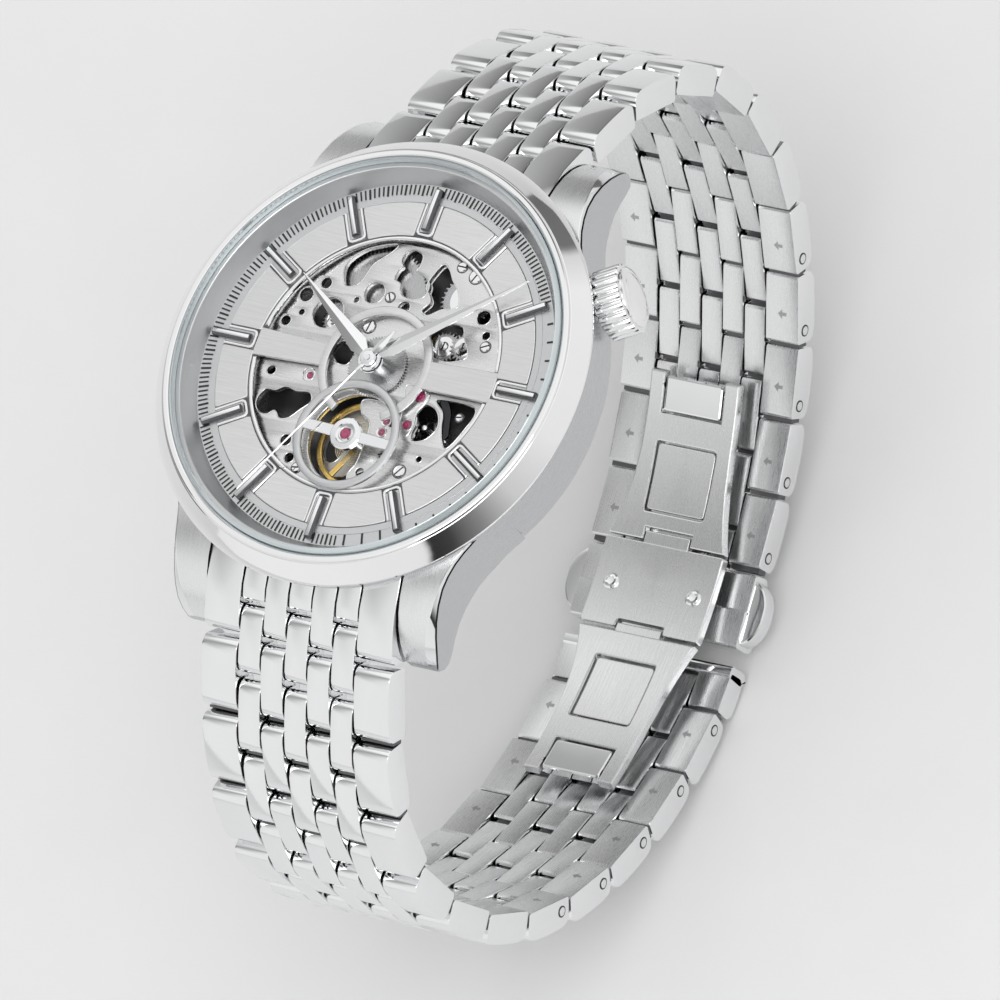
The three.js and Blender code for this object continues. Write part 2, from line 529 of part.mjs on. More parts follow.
function centrePlate() {
  const body = blade(CENTRE_GAP - CENTRE_HALF, CENTRE_HALF, -BLADE_HALF_V, BLADE_HALF_V, -6.3, 6.3, 2);
  const slot = blade(-CENTRE_HALF, -3.3, -1, 1, -KNUCKLE_HALF_X - 0.1, KNUCKLE_HALF_X + 0.1, 1);
  const knuckle = blade(CENTRE_HALF - 0.2, CENTRE_HALF + 1.1, -0.45, 0.45, -KNUCKLE_HALF_X, KNUCKLE_HALF_X, 1);
  return unite([body, rivet(-4.4), rivet(4.4), knuckle]).subtract(slot);
}
emit("clasp_centre_plate", centrePlate());

// frame that widens to the centre plate, with a window and an end notch for its tongue
function claspFrame(s) {
  const body = blade(s * FRAME_FROM, s * FRAME_TO, -BLADE_HALF_V, BLADE_HALF_V, -7, 7, 6);
  const edge = FRAME_EDGE.map(([along, half]) => [half, claspPoint(s * along, 0)[0]]);
  const mirrored = edge.map(([x, y]) => [-x, y]).reverse();
  const plan = claspPlan([...edge, ...mirrored]);
  const window = blade(s * WINDOW[0], s * WINDOW[1], -1, 1, -WINDOW_HALF_X, WINDOW_HALF_X, 4);
  const notch = blade(s * NOTCH_FROM, s * (FRAME_TO + 0.2), -1, 1, -WINDOW_HALF_X, WINDOW_HALF_X, 2);
  return body.intersect(plan).subtract(window).subtract(notch);
}

const centreSlot = blade(FRAME_FROM - 0.2, FRAME_FROM + 1.15, -1, 1, -KNUCKLE_HALF_X - 0.1, KNUCKLE_HALF_X + 0.1, 1);
const centreKnuckle = blade(-FRAME_FROM - 0.2, -3.6, -0.45, 0.45, -KNUCKLE_HALF_X, KNUCKLE_HALF_X, 1);
emit("clasp_frame_12", claspFrame(1).subtract(centreSlot));
emit("clasp_frame_6", claspFrame(-1).add(centreKnuckle));

// tongue: a pad in the frame's window and a block in its notch, on a strap that passes under the frame
// to a foot on the last piece
function claspTongue(s, footFrom, footTo, footV) {
  const width = [-TONGUE_HALF_X, TONGUE_HALF_X];
  const blockTo = FRAME_TO - 0.3;
  return unite([
    blade(s * (WINDOW[0] + 0.2), s * (WINDOW[1] - 0.2), -0.7, 0.3, ...width, 4),
    blade(s * (NOTCH_FROM + 0.2), s * blockTo, -0.7, 0.45, ...width, 2),
    blade(s * footFrom, s * (blockTo - 1.5), -1.2, -0.65, ...width, 6),
    blade(s * footFrom, s * footTo, footV, -0.65, ...width, 1),
  ]);
}
emit("clasp_tongue_12", claspTongue(1, -0.5, 0.5, -1.38));
emit("clasp_tongue_6", claspTongue(-1, 4.75, 5.6, -2.35));

// last piece of a side: four fingers on the last row's pins, and a block under the clasp
function claspEnd(side, length) {
  const place = lastFrames[side];
  const cols = columns(WIDTH_AT_CLASP);
  const fingers = [[-1.5, -1.3], [2.2, -1.3], [2.2, 1.45], [-1.1, 1.45], [-1.5, 0.9]];
  const block = [[1.75, -1.5], [length, -1.5], [length, 1.0], [length - 0.6, 1.6], [2.2, 1.6], [1.75, 1.2]];
  const parts = [0, 2, 4, 6].map((c) => barX(fingers.map(place), ...cols[c]));
  parts.push(barX(block.map(place), cols[0][0], cols[6][1]));
  return unite(parts).subtract(pivotBores(place, WIDTH_AT_CLASP));
}
// push buttons that stand out of both sides of the cover
const BUTTON_PLAN = [[-1.2, 8.6], [-0.2, 9.9], [1.2, 10.6], [3.0, 10.6], [4.4, 9.9], [5.4, 8.6]];
function claspButtons() {
  const place = lastFrames[12];
  const slab = barX([[-1.2, -1.1], [5.4, -1.1], [5.4, 0.9], [-1.2, 0.9]].map(place), -10.7, 10.7);
  const cuts = [1, -1].map((side) => slab.intersect(
    claspPlan(BUTTON_PLAN.map(([u, x]) => [side * x, place([u, 0])[0]])),
  ));
  return unite(cuts);
}
emit("clasp_cover", claspEnd(12, 5.6).add(claspButtons()));
emit("clasp_end_piece", claspEnd(6, 3.1));

export default root;
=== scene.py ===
"""Looks of the skeleton wristwatch: detailed pieces, materials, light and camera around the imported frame.

Positions are written in millimetres in the dial's frame (+X to 3 o'clock, +Y to 12, +Z out of the dial)
and lifted to the row frame, whose origin is the middle of the case back.
"""
import json
import math

import bmesh
import bpy
from mathutils import Matrix, Vector


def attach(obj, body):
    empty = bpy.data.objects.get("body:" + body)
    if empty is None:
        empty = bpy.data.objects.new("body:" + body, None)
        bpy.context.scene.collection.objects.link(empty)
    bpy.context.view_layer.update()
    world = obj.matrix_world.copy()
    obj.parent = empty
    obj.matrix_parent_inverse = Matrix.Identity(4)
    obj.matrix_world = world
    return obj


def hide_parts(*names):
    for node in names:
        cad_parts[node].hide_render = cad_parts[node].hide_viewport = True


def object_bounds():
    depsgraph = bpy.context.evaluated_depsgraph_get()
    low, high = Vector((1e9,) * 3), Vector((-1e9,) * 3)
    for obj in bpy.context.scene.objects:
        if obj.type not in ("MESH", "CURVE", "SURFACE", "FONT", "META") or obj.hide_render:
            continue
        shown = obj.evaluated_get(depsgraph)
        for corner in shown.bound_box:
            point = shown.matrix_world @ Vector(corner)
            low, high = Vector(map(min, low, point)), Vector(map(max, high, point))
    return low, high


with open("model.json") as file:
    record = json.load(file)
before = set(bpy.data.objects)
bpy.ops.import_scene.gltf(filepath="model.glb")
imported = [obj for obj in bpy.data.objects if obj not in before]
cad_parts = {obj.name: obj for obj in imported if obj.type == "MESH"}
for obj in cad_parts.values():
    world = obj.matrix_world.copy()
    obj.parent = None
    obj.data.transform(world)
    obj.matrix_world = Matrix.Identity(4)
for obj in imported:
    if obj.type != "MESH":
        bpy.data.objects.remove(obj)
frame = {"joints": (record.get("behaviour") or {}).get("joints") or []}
cad_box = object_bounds()

MM = 0.001
DIAL_LIFT = 8.6
SIDES = (12, 6)
ROWS = 11
SATIN_DEPTH = 0.012
JOINTS = {j["name"]: j for j in frame["joints"]}


# ---- materials ---------------------------------------------------------------------------------
class Tree:
    """A node tree with short calls for adding and linking nodes."""

    def __init__(self, tree):
        self.tree = tree

    def add(self, kind, **values):
        node = self.tree.nodes.new(kind)
        for key, value in values.items():
            setattr(node, key, value)
        return node

    def link(self, a, b):
        self.tree.links.new(a, b)

    def polar(self, coords):
        """Separate X, Y and Z of the named coordinates, and the angle round Z."""
        split = self.add("ShaderNodeSeparateXYZ")
        self.link(self.add("ShaderNodeTexCoord").outputs[coords], split.inputs[0])
        angle = self.add("ShaderNodeMath", operation="ARCTAN2")
        self.link(split.outputs["Y"], angle.inputs[0])
        self.link(split.outputs["X"], angle.inputs[1])
        return split.outputs, angle.outputs[0]


class Nodes(Tree):
    """A material's node tree, with calls for the patterns used here."""

    def __init__(self, name):
        self.material = bpy.data.materials.new(name)
        self.material.use_nodes = True
        super().__init__(self.material.node_tree)
        self.shader = self.tree.nodes["Principled BSDF"]

    def set(self, **values):
        for key, value in values.items():
            self.shader.inputs[key.replace("_", " ")].default_value = value

    def place(self, scale, turn=0.0):
        coords = self.add("ShaderNodeTexCoord")
        mapping = self.add("ShaderNodeMapping")
        mapping.inputs["Rotation"].default_value = (0, 0, turn)
        mapping.inputs["Scale"].default_value = scale
        self.link(coords.outputs["Object"], mapping.inputs["Vector"])
        return mapping.outputs["Vector"]

    def around(self, turns, across, up):
        """Coordinates that run round the Z axis, for turned and circular-brushed faces."""
        split, angle = self.polar("Object")
        flat_xy = self.add("ShaderNodeCombineXYZ")
        self.link(split["X"], flat_xy.inputs["X"])
        self.link(split["Y"], flat_xy.inputs["Y"])
        radius = self.add("ShaderNodeVectorMath", operation="LENGTH")
        self.link(flat_xy.outputs[0], radius.inputs[0])
        joined = self.add("ShaderNodeCombineXYZ")
        self.link(angle, joined.inputs["X"])
        self.link(radius.outputs["Value"], joined.inputs["Y"])
        self.link(split["Z"], joined.inputs["Z"])
        mapping = self.add("ShaderNodeMapping")
        mapping.inputs["Scale"].default_value = (turns, across, up)
        self.link(joined.outputs[0], mapping.inputs["Vector"])
        return mapping.outputs["Vector"]

    def noise(self, vector, detail=3.0, rough=0.6):
        node = self.add("ShaderNodeTexNoise")
        node.inputs["Scale"].default_value = 1.0
        node.inputs["Detail"].default_value = detail
        node.inputs["Roughness"].default_value = rough
        self.link(vector, node.inputs["Vector"])
        return node.outputs["Fac"]

    def roughness(self, value, low, high):
        """Roughness from low to high over the middle of the pattern's range."""
        node = self.add("ShaderNodeMapRange")
        node.inputs["From Min"].default_value = 0.3
        node.inputs["From Max"].default_value = 0.7
        node.inputs["To Min"].default_value = low
        node.inputs["To Max"].default_value = high
        self.link(value, node.inputs["Value"])
        self.link(node.outputs[0], self.shader.inputs["Roughness"])

    def tint(self, value, dark, light):
        """Base colour from dark to light along the pattern."""
        node = self.add("ShaderNodeMix", data_type="RGBA")
        node.inputs["A"].default_value = (*dark, 1)
        node.inputs["B"].default_value = (*light, 1)
        self.link(value, node.inputs["Factor"])
        self.link(node.outputs["Result"], self.shader.inputs["Base Color"])

    def bump(self, value, strength, depth_mm):
        node = self.add("ShaderNodeBump")
        node.inputs["Strength"].default_value = strength
        node.inputs["Distance"].default_value = depth_mm * MM
        self.link(value, node.inputs["Height"])
        self.link(node.outputs[0], self.shader.inputs["Normal"])


def polished(name, color, low=0.05, high=0.13):
    """Polished metal with hairline scratches and faint smudges."""
    n = Nodes(name)
    n.set(Metallic=1.0)
    smudge = n.noise(n.place((260, 260, 260)), detail=5)
    hairs = n.noise(n.place((900, 9000, 9000), turn=0.5), detail=2)
    n.tint(smudge, [c * 0.95 for c in color], color)
    n.roughness(smudge, low, high)
    n.bump(hairs, 0.05, 0.004)
    return n.material


def metal(name, color, pattern, shade, gloss, relief, anisotropic=0.0):
    """Metal whose tint, roughness (low, high) and relief (strength, mm) follow one pattern of the noise."""
    n = Nodes(name)
    n.set(Metallic=1.0, Anisotropic=anisotropic)
    value = pattern(n)
    n.tint(value, [c * shade for c in color], color)
    n.roughness(value, *gloss)
    n.bump(value, *relief)
    return n.material


def brushed(name, color, scale, turn=0.0, low=0.22, high=0.36, strength=0.22, depth=0.16):
    """Satin metal whose lines run along the axis with the small scale."""
    return metal(name, color, lambda n: n.noise(n.place(scale, turn), detail=4, rough=0.7),
                 1 - depth, (low, high), (strength, SATIN_DEPTH), 0.35)


def circular(name, color, turns=5, low=0.2, high=0.34, strength=0.2):
    """Satin metal brushed round the Z axis."""
    return metal(name, color, lambda n: n.noise(n.around(turns, 26000, 26000), detail=4, rough=0.7),
                 0.84, (low, high), (strength, SATIN_DEPTH), 0.3)


def sunray(name, color, low, high):
    """Fine radial lines, as on a wheel or a barrel cover."""
    return metal(name, color, lambda n: n.noise(n.around(90, 40, 40), detail=4), 0.86, (low, high),
                 (0.15, 0.008))


def grained(name, color, scale=9000, low=0.35, high=0.5):
    """Fine matt grain for recessed and cast surfaces."""
    return metal(name, color, lambda n: n.noise(n.place((scale,) * 3), detail=4), 0.8, (low, high),
                 (0.2, 0.01))


def jewel(name, color):
    n = Nodes(name)
    n.set(Roughness=0.06, IOR=1.76, Coat_Weight=0.6)
    cloud = n.noise(n.place((2500, 2500, 2500)), detail=3)
    n.tint(cloud, [c * 0.55 for c in color], color)
    return n.material


def ink(name, color):
    n = Nodes(name)
    n.set(Metallic=0.0)
    grain = n.noise(n.place((20000, 20000, 20000)), detail=3)
    n.tint(grain, color, [c + 0.02 for c in color])
    n.roughness(grain, 0.3, 0.45)
    return n.material


def clear(name, color, weight):
    """Thin clear sapphire: light passes straight through, with a faint gloss that grows at the edges."""
    n = Nodes(name)
    n.set(Roughness=0.03, IOR=1.77, Base_Color=(*color, 1))
    haze = n.noise(n.place((400, 400, 400)), detail=2)
    n.roughness(haze, 0.02, 0.05)
    mix = n.add("ShaderNodeMixShader")
    gloss = n.add("ShaderNodeLayerWeight")
    gloss.inputs["Blend"].default_value = weight
    passing = n.add("ShaderNodeBsdfTransparent")
    passing.inputs["Color"].default_value = (*[0.97 + 0.03 * c for c in color], 1)
    out = n.tree.nodes["Material Output"]
    n.link(gloss.outputs["Fresnel"], mix.inputs[0])
    n.link(passing.outputs[0], mix.inputs[1])
    n.link(n.shader.outputs[0], mix.inputs[2])
    n.link(mix.outputs[0], out.inputs["Surface"])
    return n.material


STEEL = (0.86, 0.865, 0.87)
POLISH = polished("steel_polished", STEEL)
MIRROR = polished("steel_mirror", (0.9, 0.9, 0.905), 0.03, 0.08)
SATIN_X = brushed("steel_satin_across", STEEL, (300, 14000, 14000))
SATIN_Y = brushed("steel_satin_along", STEEL, (14000, 420, 1400))
# FLANK is the case steel tinted darker (0.58 against 0.86): painted shade on the case sides, the lugs' flanks
# and the case back ring.
FLANK = circular("steel_satin_round_painted_shade", (0.58, 0.585, 0.595), strength=0.5)
DIAL = brushed("dial_silver", (0.92, 0.92, 0.915), (260, 6000, 6000), low=0.28, high=0.44, strength=0.6,
               depth=0.3)
TRACK = circular("track_silver", (0.74, 0.745, 0.75), turns=3, low=0.34, high=0.46)
PLATE = brushed("plate_rhodium", (0.8, 0.8, 0.795), (900, 9000, 9000), turn=0.5, low=0.2, high=0.38)
# BRIDGE is a mid grey, darker than the plate: painted shade for deep-set parts (train bridge, movement
# holder) and for the cut arrows.
BRIDGE = grained("bridge_matt_painted_shade", (0.5, 0.5, 0.51))
FROST = grained("plate_frosted", (0.9, 0.9, 0.9), low=0.4, high=0.6)
SPRING = sunray("hairspring_alloy", (0.72, 0.66, 0.5), 0.2, 0.3)
# SHADE is painted shade: a dark grey laid where shade falls, behind the dial's panels, in the gaps between
# bracelet plates, on the baton bodies, behind the plate's holes, round screw heads and in the case back's
# notches.
SHADE = grained("painted_shade_grey", (0.16, 0.16, 0.165))
# DARK is near-black steel. It serves mostly as painted shade and painted dark reflection: on the pins between
# plates, round sunk pin ends, in screw slots and in the groove of the lug edge.
DARK = grained("dark_steel_and_painted_shade", (0.06, 0.06, 0.063), 6000, 0.28, 0.42)
WHEEL = sunray("wheel_steel", (0.56, 0.56, 0.565), 0.2, 0.34)
GOLD = sunray("gilt_brass", (0.86, 0.6, 0.2), 0.16, 0.3)
RUBY = jewel("ruby", (0.42, 0.02, 0.12))
BLACK = ink("print_black", (0.012, 0.012, 0.013))
CRYSTAL = clear("sapphire", (0.93, 0.97, 1.0), 0.012)


def crystal_rim():
    n = Nodes("sapphire_rim")
    n.set(Metallic=0.35, IOR=1.77)
    cloud = n.noise(n.around(4, 900, 900), detail=2)
    n.tint(cloud, (0.5, 0.55, 0.56), (0.66, 0.72, 0.735))
    n.roughness(cloud, 0.08, 0.18)
    return n.material


RIM = crystal_rim()


# ---- mesh tools --------------------------------------------------------------------------------
SHARP = math.radians(28)
RIM_WIDTH = 0.1


def add_object(name, data):
    thing = bpy.data.objects.new(name, data)
    bpy.context.scene.collection.objects.link(thing)
    return thing


class Piece:
    """Collects solids with their materials into one object that rides on a CAD body."""

    def __init__(self, name, body):
        self.name = name
        self.body = body
        self.mesh = bmesh.new()
        self.materials = []

    def slot(self, material):
        if material not in self.materials:
            self.materials.append(material)
        return self.materials.index(material)

    def add(self, part, material, place=None):
        """Adds a bmesh whose faces may already carry slot numbers (material = None keeps them)."""
        if place is not None:
            part.transform(place)
        if material is not None:
            index = self.slot(material)
            for face in part.faces:
                face.material_index = index
        held = bpy.data.meshes.new("part")
        part.to_mesh(held)
        part.free()
        self.mesh.from_mesh(held)
        bpy.data.meshes.remove(held)

    def finish(self, replaces=(), angle=20):
        data = bpy.data.meshes.new(self.name)
        bmesh.ops.recalc_face_normals(self.mesh, faces=self.mesh.faces)
        self.mesh.transform(Matrix.Scale(MM, 4) @ Matrix.Translation((0, 0, DIAL_LIFT)))
        self.mesh.to_mesh(data)
        self.mesh.free()
        data.polygons.foreach_set("use_smooth", [True] * len(data.polygons))
        data.set_sharp_from_angle(angle=math.radians(angle))
        for material in self.materials:
            data.materials.append(material)
        thing = add_object(self.name, data)
        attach(thing, self.body)
        if replaces:
            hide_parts(*replaces)
        return thing


def bevel(part, size):
    edges = [e for e in part.edges if len(e.link_faces) == 2 and e.calc_face_angle(0) > SHARP]
    bmesh.ops.bevel(part, geom=edges, offset=size, segments=2, profile=0.6, affect="EDGES",
                    clamp_overlap=True)
    return part


def bar_x(outline, x0, x1, edge=0.0):
    """Bar along X from an outline in (y, z)."""
    part = bmesh.new()
    near, far = ([part.verts.new((x, y, z)) for y, z in outline] for x in (x0, x1))
    part.faces.new(near)
    part.faces.new(far[::-1])
    count = len(outline)
    for i in range(count):
        j = (i + 1) % count
        part.faces.new((near[j], near[i], far[i], far[j]))
    bmesh.ops.recalc_face_normals(part, faces=part.faces)
    return bevel(part, edge) if edge else part


def turned(profile, segments=160):
    """Body of revolution about Z from a closed (r, z) outline; points with r = 0 close on the axis."""
    part = bmesh.new()
    rings = []
    for r, z in profile:
        if r == 0:
            rings.append([part.verts.new((0, 0, z))] * segments)
            continue
        ring = []
        for k in range(segments):
            a = 2 * math.pi * k / segments
            ring.append(part.verts.new((r * math.cos(a), r * math.sin(a), z)))
        rings.append(ring)
    for i, ring in enumerate(rings):
        after = rings[(i + 1) % len(rings)]
        for k in range(segments):
            m = (k + 1) % segments
            corners = [ring[k], ring[m], after[m], after[k]]
            corners = [v for n, v in enumerate(corners) if v not in corners[:n]]
            if len(corners) > 2:
                part.faces.new(corners)
    bmesh.ops.recalc_face_normals(part, faces=part.faces)
    return part


def curve_mesh(outlines, z=0.0, **settings):
    """Mesh of a curve through closed outlines, with the curve's own settings for fill and bevel."""
    curve = bpy.data.curves.new("outline", "CURVE")
    for key, value in settings.items():
        setattr(curve, key, value)
    for points in outlines:
        spline = curve.splines.new("POLY")
        spline.points.add(len(points) - 1)
        for point, (x, y) in zip(spline.points, points):
            point.co = (x, y, z, 1)
        spline.use_cyclic_u = True
    holder = add_object("outline", curve)
    data = bpy.data.meshes.new_from_object(holder.evaluated_get(bpy.context.evaluated_depsgraph_get()))
    part = bmesh.new()
    part.from_mesh(data)
    bpy.data.objects.remove(holder)
    bpy.data.curves.remove(curve)
    bpy.data.meshes.remove(data)
    return part


def flat(outlines, z0, z1, edge=0.04, segments=2):
    """Plate between two heights from an outline and its holes, with rounded edges."""
    part = curve_mesh(outlines, dimensions="2D", fill_mode="BOTH", extrude=(z1 - z0) / 2 - edge,
                      bevel_depth=edge,
                      bevel_resolution=segments - 1, offset=-edge)
    bmesh.ops.remove_doubles(part, verts=part.verts, dist=1e-4)
    bmesh.ops.translate(part, verts=part.verts, vec=(0, 0, (z0 + z1) / 2))
    return part


def bright_rim(piece, line, z):
    """Polished chamfer that follows the edge of an opening."""
    piece.add(curve_mesh([line], z, dimensions="3D", bevel_depth=RIM_WIDTH / 2, bevel_resolution=2), MIRROR)


def box(a0, a1, b0, b1):
    """Corners of a rectangle: a plain bar, or the profile of a plain ring or rod to be turned."""
    return [(a0, b0), (a1, b0), (a1, b1), (a0, b1)]


def circle(x, y, r, n=32):
    steps = [2 * math.pi * k / n for k in range(n)]
    return [(x + r * math.cos(a), y + r * math.sin(a)) for a in steps]


def rounded(corners, r, steps=5):
    """Outline through the corners, each one rounded by an arc of about radius r."""
    points = []
    count = len(corners)
    for i, corner in enumerate(corners):
        here = Vector(corner)
        back = Vector(corners[i - 1]) - here
        ahead = Vector(corners[(i + 1) % count]) - here
        reach = min(r, back.length * 0.45, ahead.length * 0.45)
        a = here + back.normalized() * reach
        b = here + ahead.normalized() * reach
        for k in range(steps + 1):
            t = k / steps
            points.append(tuple(a * (1 - t) ** 2 + here * 2 * t * (1 - t) + b * t ** 2))
    return points


def arc(r, a0, a1, n, x=0.0, y=0.0):
    """Points round an arc, angles in degrees from +X."""
    steps = [math.radians(a0 + (a1 - a0) * k / n) for k in range(n + 1)]
    return [(x + r * math.cos(a), y + r * math.sin(a)) for a in steps]


def sector(r0, r1, a0, a1, n=12):
    return arc(r1, a0, a1, n) + arc(r0, a1, a0, n)


def spin(degrees):
    return Matrix.Rotation(math.radians(degrees), 4, "Z")


def shift(x, y, z=0.0):
    return Matrix.Translation((x, y, z))


def blob(points):
    """Smooth closed outline through the points."""
    count = len(points)
    steps = 6
    line = []
    for i in range(count):
        p0, p1, p2, p3 = (Vector(points[(i + k - 1) % count]) for k in range(4))
        for s in range(steps):
            t = s / steps
            line.append(tuple(0.5 * (2 * p1 + (p2 - p0) * t + (2 * p0 - 5 * p1 + 4 * p2 - p3) * t * t
                                     + (3 * p1 - p0 - 3 * p2 + p3) * t ** 3)))
    return line


def rod_x(y, z, r, x0, x1, edge=0.0):
    return bar_x(circle(y, z, r, 24), x0, x1, edge)


def lay(part, place, u=0.0, v=0.0):
    """Sets a part drawn flat in (x, u) on a row's frame or on the clasp's arc."""
    for vert in part.verts:
        vert.co = (vert.co.x, *place(u + vert.co.y, v + vert.co.z))
    return part


# ---- bracelet ----------------------------------------------------------------------------------
PITCH = 7.14
PIVOT_IN_ROW = 1.55
ROW_LENGTH = 6.7
SPLIT_U = 2.02
PIN_AT = 3.9
WIDTH_AT_CASE = 19.8
WIDTH_AT_CLASP = 17.9
ROW_TOP = 1.5
ROW_UNDER = -1.4
END_ROUND = 1.35
PLATE_EDGE = 0.16
CROWNING = 0.07
END_DROP = 0.95
OUTER_SHARE = 0.19
HALF_GAP = 0.07
ROD_R = 0.55
ROD_INSET = 2.6
PIN_END_R = 0.42
PIN_END_OUT = 0.03
ARROW_HALF = 0.45
LAST_BODIES = {12: "clasp_cover", 6: "clasp_end"}
CLOSING_ANGLE = {12: -170, 6: 177}
FIRST_ANGLE = -31
END_LINK_FROM = 17.4


def hinge(name):
    """Hinge line as (distance from the case axis, height) in the dial's frame, in millimetres."""
    y, z = JOINTS[name + "_hinge"]["pos_m"][1:]
    return Vector((abs(y) / MM, z / MM - DIAL_LIFT))


def unit(degrees):
    return Vector((math.cos(math.radians(degrees)), math.sin(math.radians(degrees))))


class Along:
    """Frame at a hinge: u runs along the row, v away from the wrist; calls give (y, z)."""

    def __init__(self, origin, direction, side):
        self.origin = origin
        self.along = direction.normalized()
        self.sign = 1 if side == 12 else -1

    def __call__(self, u, v):
        o, d = self.origin, self.along
        return (self.sign * (o.x + u * d.x - v * d.y), o.y + u * d.y + v * d.x)

    def outward(self):
        y, z = self(0, 1)
        y0, z0 = self(0, 0)
        return Vector((0, y - y0, z - z0))


def width_at(row):
    return WIDTH_AT_CASE + (WIDTH_AT_CLASP - WIDTH_AT_CASE) * min(row, ROWS) / ROWS


def columns(width):
    """Edges (x0, x1) of the seven columns, the outer two wider."""
    outer = OUTER_SHARE * width
    inner = (width - 2 * outer) / 5
    edges = [-width / 2] + [-width / 2 + outer + i * inner for i in range(6)] + [width / 2]
    return [(edges[i] + (HALF_GAP if i else 0), edges[i + 1] - (HALF_GAP if i < 6 else 0)) for i in range(7)]


def crowned(u0, u1, top, under, round_end=END_ROUND):
    """Side outline of a plate: softly crowned outside, rounded over at both ends, flat on the wrist side."""
    middle = (u0 + u1) / 2
    flat_half = (u1 - u0) / 2 - round_end
    steps = 7
    points = [(u0 + 0.3, under), (u1 - 0.3, under), (u1 - 0.08, under + 0.22)]
    for k in range(steps + 1):
        a = math.pi / 2 * k / steps
        points.append((u1 - round_end * (1 - math.cos(a)), top - CROWNING - END_DROP * (1 - math.sin(a))))
    for k in range(1, steps):
        t = 1 - 2 * k / steps
        points.append((middle + flat_half * t, top - CROWNING * t * t))
    for k in range(steps + 1):
        a = math.pi / 2 * (1 - k / steps)
        points.append((u0 + round_end * (1 - math.cos(a)), top - CROWNING - END_DROP * (1 - math.sin(a))))
    points.append((u0 + 0.08, under + 0.22))
    return points


def plate_bar(piece, place, outline, x0, x1):
    """Plate with a satin wrist side and polished faces elsewhere."""
    part = bar_x([place(u, v) for u, v in outline], x0, x1, PLATE_EDGE)
    part.normal_update()
    wrist = -place.outward()
    satin, bright = piece.slot(SATIN_Y), piece.slot(POLISH)
    for face in part.faces:
        face.material_index = satin if face.normal.dot(wrist) > 0.5 else bright
    piece.add(part, None)


def pin_end(piece, y, z, x):
    """Pin end sunk in the side of a plate."""
    out = math.copysign(PIN_END_OUT, x)
    # dark ring round the pin end: painted shade in the gap round the sunk pin
    piece.add(rod_x(y, z, PIN_END_R + 0.13, x - 4 * out, x + out), DARK)
    piece.add(rod_x(y, z, PIN_END_R, x - 4 * out, x + 2 * out, 0.03), SATIN_X)


def arrow(piece, place, u, x, under):
    """Small cut arrow on the wrist side that shows which way a pin is driven out."""
    tip = ARROW_HALF
    shape = [(-tip, 0), (0, tip), (0, 0.16), (tip, 0.16), (tip, -0.16), (0, -0.16), (0, -tip)]
    # the cut is drawn as a flat grey mark: painted shade in place of the cut's depth
    part = flat([[(x + a, b) for a, b in shape]], -0.02, 0.02, 0.005, 1)
    piece.add(lay(part, place, u, under), BRIDGE)


def bracelet_row(side, index):
    name = f"row_{side}_{index:02d}"
    after = f"row_{side}_{index + 1:02d}" if index < ROWS else LAST_BODIES[side]
    start = hinge(name)
    place = Along(start, hinge(after) - start, side)
    width, next_width = width_at(index - 1), width_at(index)
    piece = Piece(name + "_links", name)
    cols, next_cols = columns(width), columns(next_width)
    outer = crowned(-PIVOT_IN_ROW, ROW_LENGTH - PIVOT_IN_ROW, ROW_TOP, ROW_UNDER)
    inner = crowned(SPLIT_U, SPLIT_U + ROW_LENGTH, ROW_TOP - 0.05, ROW_UNDER + 0.1)
    for span in cols[::2]:
        plate_bar(piece, place, outer, *span)
    for span in next_cols[1::2]:
        plate_bar(piece, place, inner, *span)
    half = width / 2
    # pins drawn near black: painted shade in the gaps between the plates
    for u, reach in ((0, half - ROD_INSET), (PIN_AT, half - 0.6), (PITCH, half - ROD_INSET)):
        piece.add(rod_x(*place(u, 0), ROD_R, -reach, reach), DARK)
    # dark blocks below the plate tops, filling the gaps between plates: painted shade
    for u, spans in ((ROW_LENGTH - PIVOT_IN_ROW, cols[::2]), (SPLIT_U + ROW_LENGTH, next_cols[1::2])):
        gap_shade_block = [place(*corner) for corner in box(u - 0.4, u + 0.34, -0.9, 0.35)]
        for x0, x1 in spans:
            piece.add(bar_x(gap_shade_block, x0 + 0.2, x1 - 0.2), SHADE)
    if index >= ROWS - 4:
        for sign in (1, -1):
            pin_end(piece, *place(PIN_AT, -0.2), sign * half)
            arrow(piece, place, PIN_AT - 1.6, sign * (half - 1.7), ROW_UNDER)
    piece.finish([name])


def end_link(side):
    name = f"end_link_{side}"
    place = Along(hinge(f"row_{side}_01"), unit(FIRST_ANGLE), side)
    piece = Piece(name + "_fitted", "watch_head")
    sign = 1 if side == 12 else -1
    cols = columns(WIDTH_AT_CASE)
    start = sign * END_LINK_FROM
    under = [(start + sign * 4.2, -6.1), (start, -5.2)]
    for span in cols[::2]:
        nose = [place(-2.0 - END_ROUND * (1 - math.cos(a)), 0.45 + 1.02 * math.sin(a))
                for a in [math.pi / 2 * k / 6 for k in range(7)]]
        outline = [(start, -0.62), place(-6.6, 1.5), place(-5.0, 1.52)] + nose[::-1]
        outline += [place(-2.05, -1.25)] + under
        piece.add(bar_x(outline, *span, PLATE_EDGE), POLISH)
    under = [(start + sign * 3.2, -5.6), (start, -5.2)]
    short = crowned(-4.75, 1.45, 1.45, -1.25)
    for span in cols[1::2]:
        outline = [(start, -0.62), place(-6.6, 1.45), place(-5.45, 1.42), place(-5.28, 1.2),
                   place(-5.25, -1.3)]
        piece.add(bar_x(outline + under, *span, PLATE_EDGE), POLISH)
        plate_bar(piece, place, short, *span)
    reach = cols[6][1] - 0.5
    # pins drawn near black: painted shade between the plates
    for u, end in ((-3.3, reach), (0, reach - 2.4)):
        piece.add(rod_x(*place(u, 0), ROD_R, -end, end), DARK)
    piece.finish([name])


